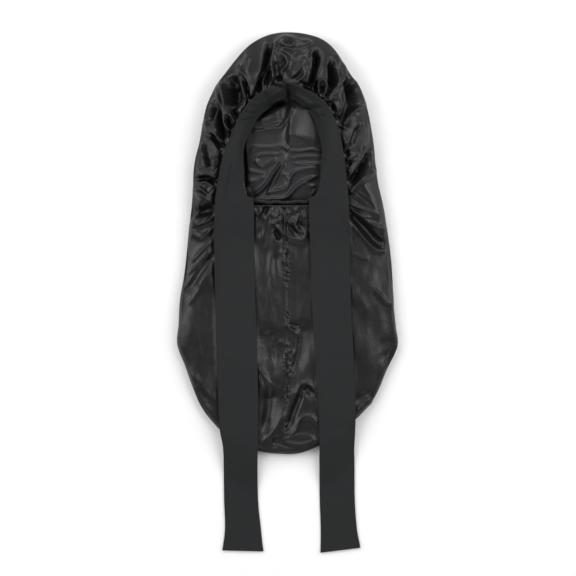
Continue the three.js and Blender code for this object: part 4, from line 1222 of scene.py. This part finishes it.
# The jersey: its black, its soft shine, its ribs, its soft unevenness and its fuzz.
JERSEY_BLACK, JERSEY_ROUGHNESS = (0.0165, 0.0172, 0.0182), 0.85
JERSEY_SHINE = {"Specular IOR Level": 0.25, "Sheen Weight": 0.02, "Sheen Roughness": 0.5}
RIBS, RIB_BUMP = {"Scale": 160, "Distortion": 1.2}, dict(strength=0.18, distance=0.0003)
SOFT, SOFT_BUMP = dict(scale=40, detail=3), dict(strength=0.2, distance=0.0012)
FUZZ, FUZZ_BUMP = dict(scale=1200, detail=3), dict(strength=0.2, distance=0.0003)


def jersey_material():
    made, tree, shader = new_material("matte_jersey", JERSEY_BLACK, JERSEY_ROUGHNESS)
    set_inputs(shader, JERSEY_SHINE)
    place = tree.nodes.new("ShaderNodeTexCoord").outputs["Object"]
    ribs = tree.nodes.new("ShaderNodeTexWave")
    set_inputs(ribs, RIBS)
    link(tree, place, ribs.inputs["Vector"])
    fuzz = noise_node(tree, place, **FUZZ)
    soft = noise_node(tree, place, **SOFT)
    normal = bump_node(tree, soft, **SOFT_BUMP)
    normal = bump_node(tree, ribs.outputs["Fac"], **RIB_BUMP, below=normal)
    normal = bump_node(tree, fuzz, **FUZZ_BUMP, below=normal)
    link(tree, normal, shader.inputs["Normal"])
    return made


jersey = jersey_material()
satin_seamed = satin_material("black_satin_seamed", OUTSIDE_BLACK, OUTSIDE_SHINE, seamed=True)
# The satin seen inside the opening: a copy painted lighter and shinier, as painted light against the band's
# shade.
satin_inside_painted_lighter = satin_material("black_satin_inside_painted_lighter", INSIDE_BLACK_PAINTED_LIGHTER, INSIDE_SHINE_PAINTED_BRIGHTER, seamed=False)
satin = satin_material("black_satin", OUTSIDE_BLACK, OUTSIDE_SHINE, seamed=False)
for cloth, material in ((satin_front, satin_seamed), (satin_back, satin_inside_painted_lighter), (casing, satin),
                        (knots[0], satin), (knots[1], satin), (tie_left, jersey), (tie_right, jersey)):
    cloth.data.materials.append(material)

# The floor, the lights and the camera, in metres and watts.
FLOOR_SIDE, FLOOR_DROP = 6, 0.0004
FLOOR_WHITE, FLOOR_ROUGHNESS, FLOOR_SHINE = (0.97, 0.97, 0.97), 0.9, 0.1
SOFTBOXES = [
    dict(name="left_softbox", place=(-1.9, 0.4, 1.7), size=(1.2, 2.2), power=34),
    dict(name="right_softbox", place=(1.9, 0.4, 1.7), size=(1.2, 2.2), power=34),
    dict(name="head_softbox", place=(0, 2.1, 1.7), size=(2.2, 1.3), power=29),
    dict(name="foot_softbox", place=(0, -2.1, 1.7), size=(2.2, 1.3), power=9),
]
ROOM_WHITE, ROOM_LIGHT = (1, 1, 1, 1), 0.24
SENSOR_MM = 36
SHARP_HEIGHT = 0.012


def make_floor():
    bpy.ops.mesh.primitive_plane_add(size=FLOOR_SIDE, location=(0, 0, -FLOOR_DROP))
    floor = bpy.context.object
    floor.name = "floor"
    made, _, shader = new_material("white_floor", FLOOR_WHITE, FLOOR_ROUGHNESS)
    shader.inputs["Specular IOR Level"].default_value = FLOOR_SHINE
    floor.data.materials.append(made)
    return floor


def softbox(name, place, size, power):
    """An area light that faces the origin."""
    data = bpy.data.lights.new(name, "AREA")
    data.shape = "RECTANGLE"
    data.size, data.size_y = size
    data.energy = power
    lamp = bpy.data.objects.new(name, data)
    lamp.location = place
    direction = -lamp.location
    lamp.rotation_mode = "QUATERNION"
    lamp.rotation_quaternion = direction.to_track_quat("-Z", "Y")
    bpy.context.collection.objects.link(lamp)


def light_room():
    world = bpy.data.worlds.new("room")
    world.use_nodes = True
    set_inputs(world.node_tree.nodes["Background"], {"Color": ROOM_WHITE, "Strength": ROOM_LIGHT})
    bpy.context.scene.world = world
    bpy.context.scene.view_settings.view_transform = "Standard"


def make_camera():
    """A camera straight above the photograph's middle, whose frame is the photograph's at SHARP_HEIGHT."""
    data = bpy.data.cameras.new("camera")
    data.sensor_width = SENSOR_MM
    data.lens = SENSOR_MM * (CAMERA_HEIGHT_MM * MM - SHARP_HEIGHT) / (PHOTO_SIDE * PIXEL_MM * MM)
    camera = bpy.data.objects.new("camera", data)
    x, y = photo((PHOTO_SIDE / 2, PHOTO_SIDE / 2)) * MM
    camera.location = (x, y, CAMERA_HEIGHT_MM * MM)
    bpy.context.collection.objects.link(camera)
    return camera


make_floor()
for row in SOFTBOXES:
    softbox(**row)
light_room()
bpy.context.scene.camera = make_camera()

# What each piece stands for, whose parts it hides, and what it rides on.
for piece, nodes in ((satin_front, ["satin_front", "satin_edge"]), (satin_back, ["satin_back"]),
                     (casing, ["nape_casing"]), (tie_left, ["tie_left"]), (tie_right, ["tie_right"])):
    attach(piece, "root")
    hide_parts(*nodes)
for knot in knots:
    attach(knot, "root")
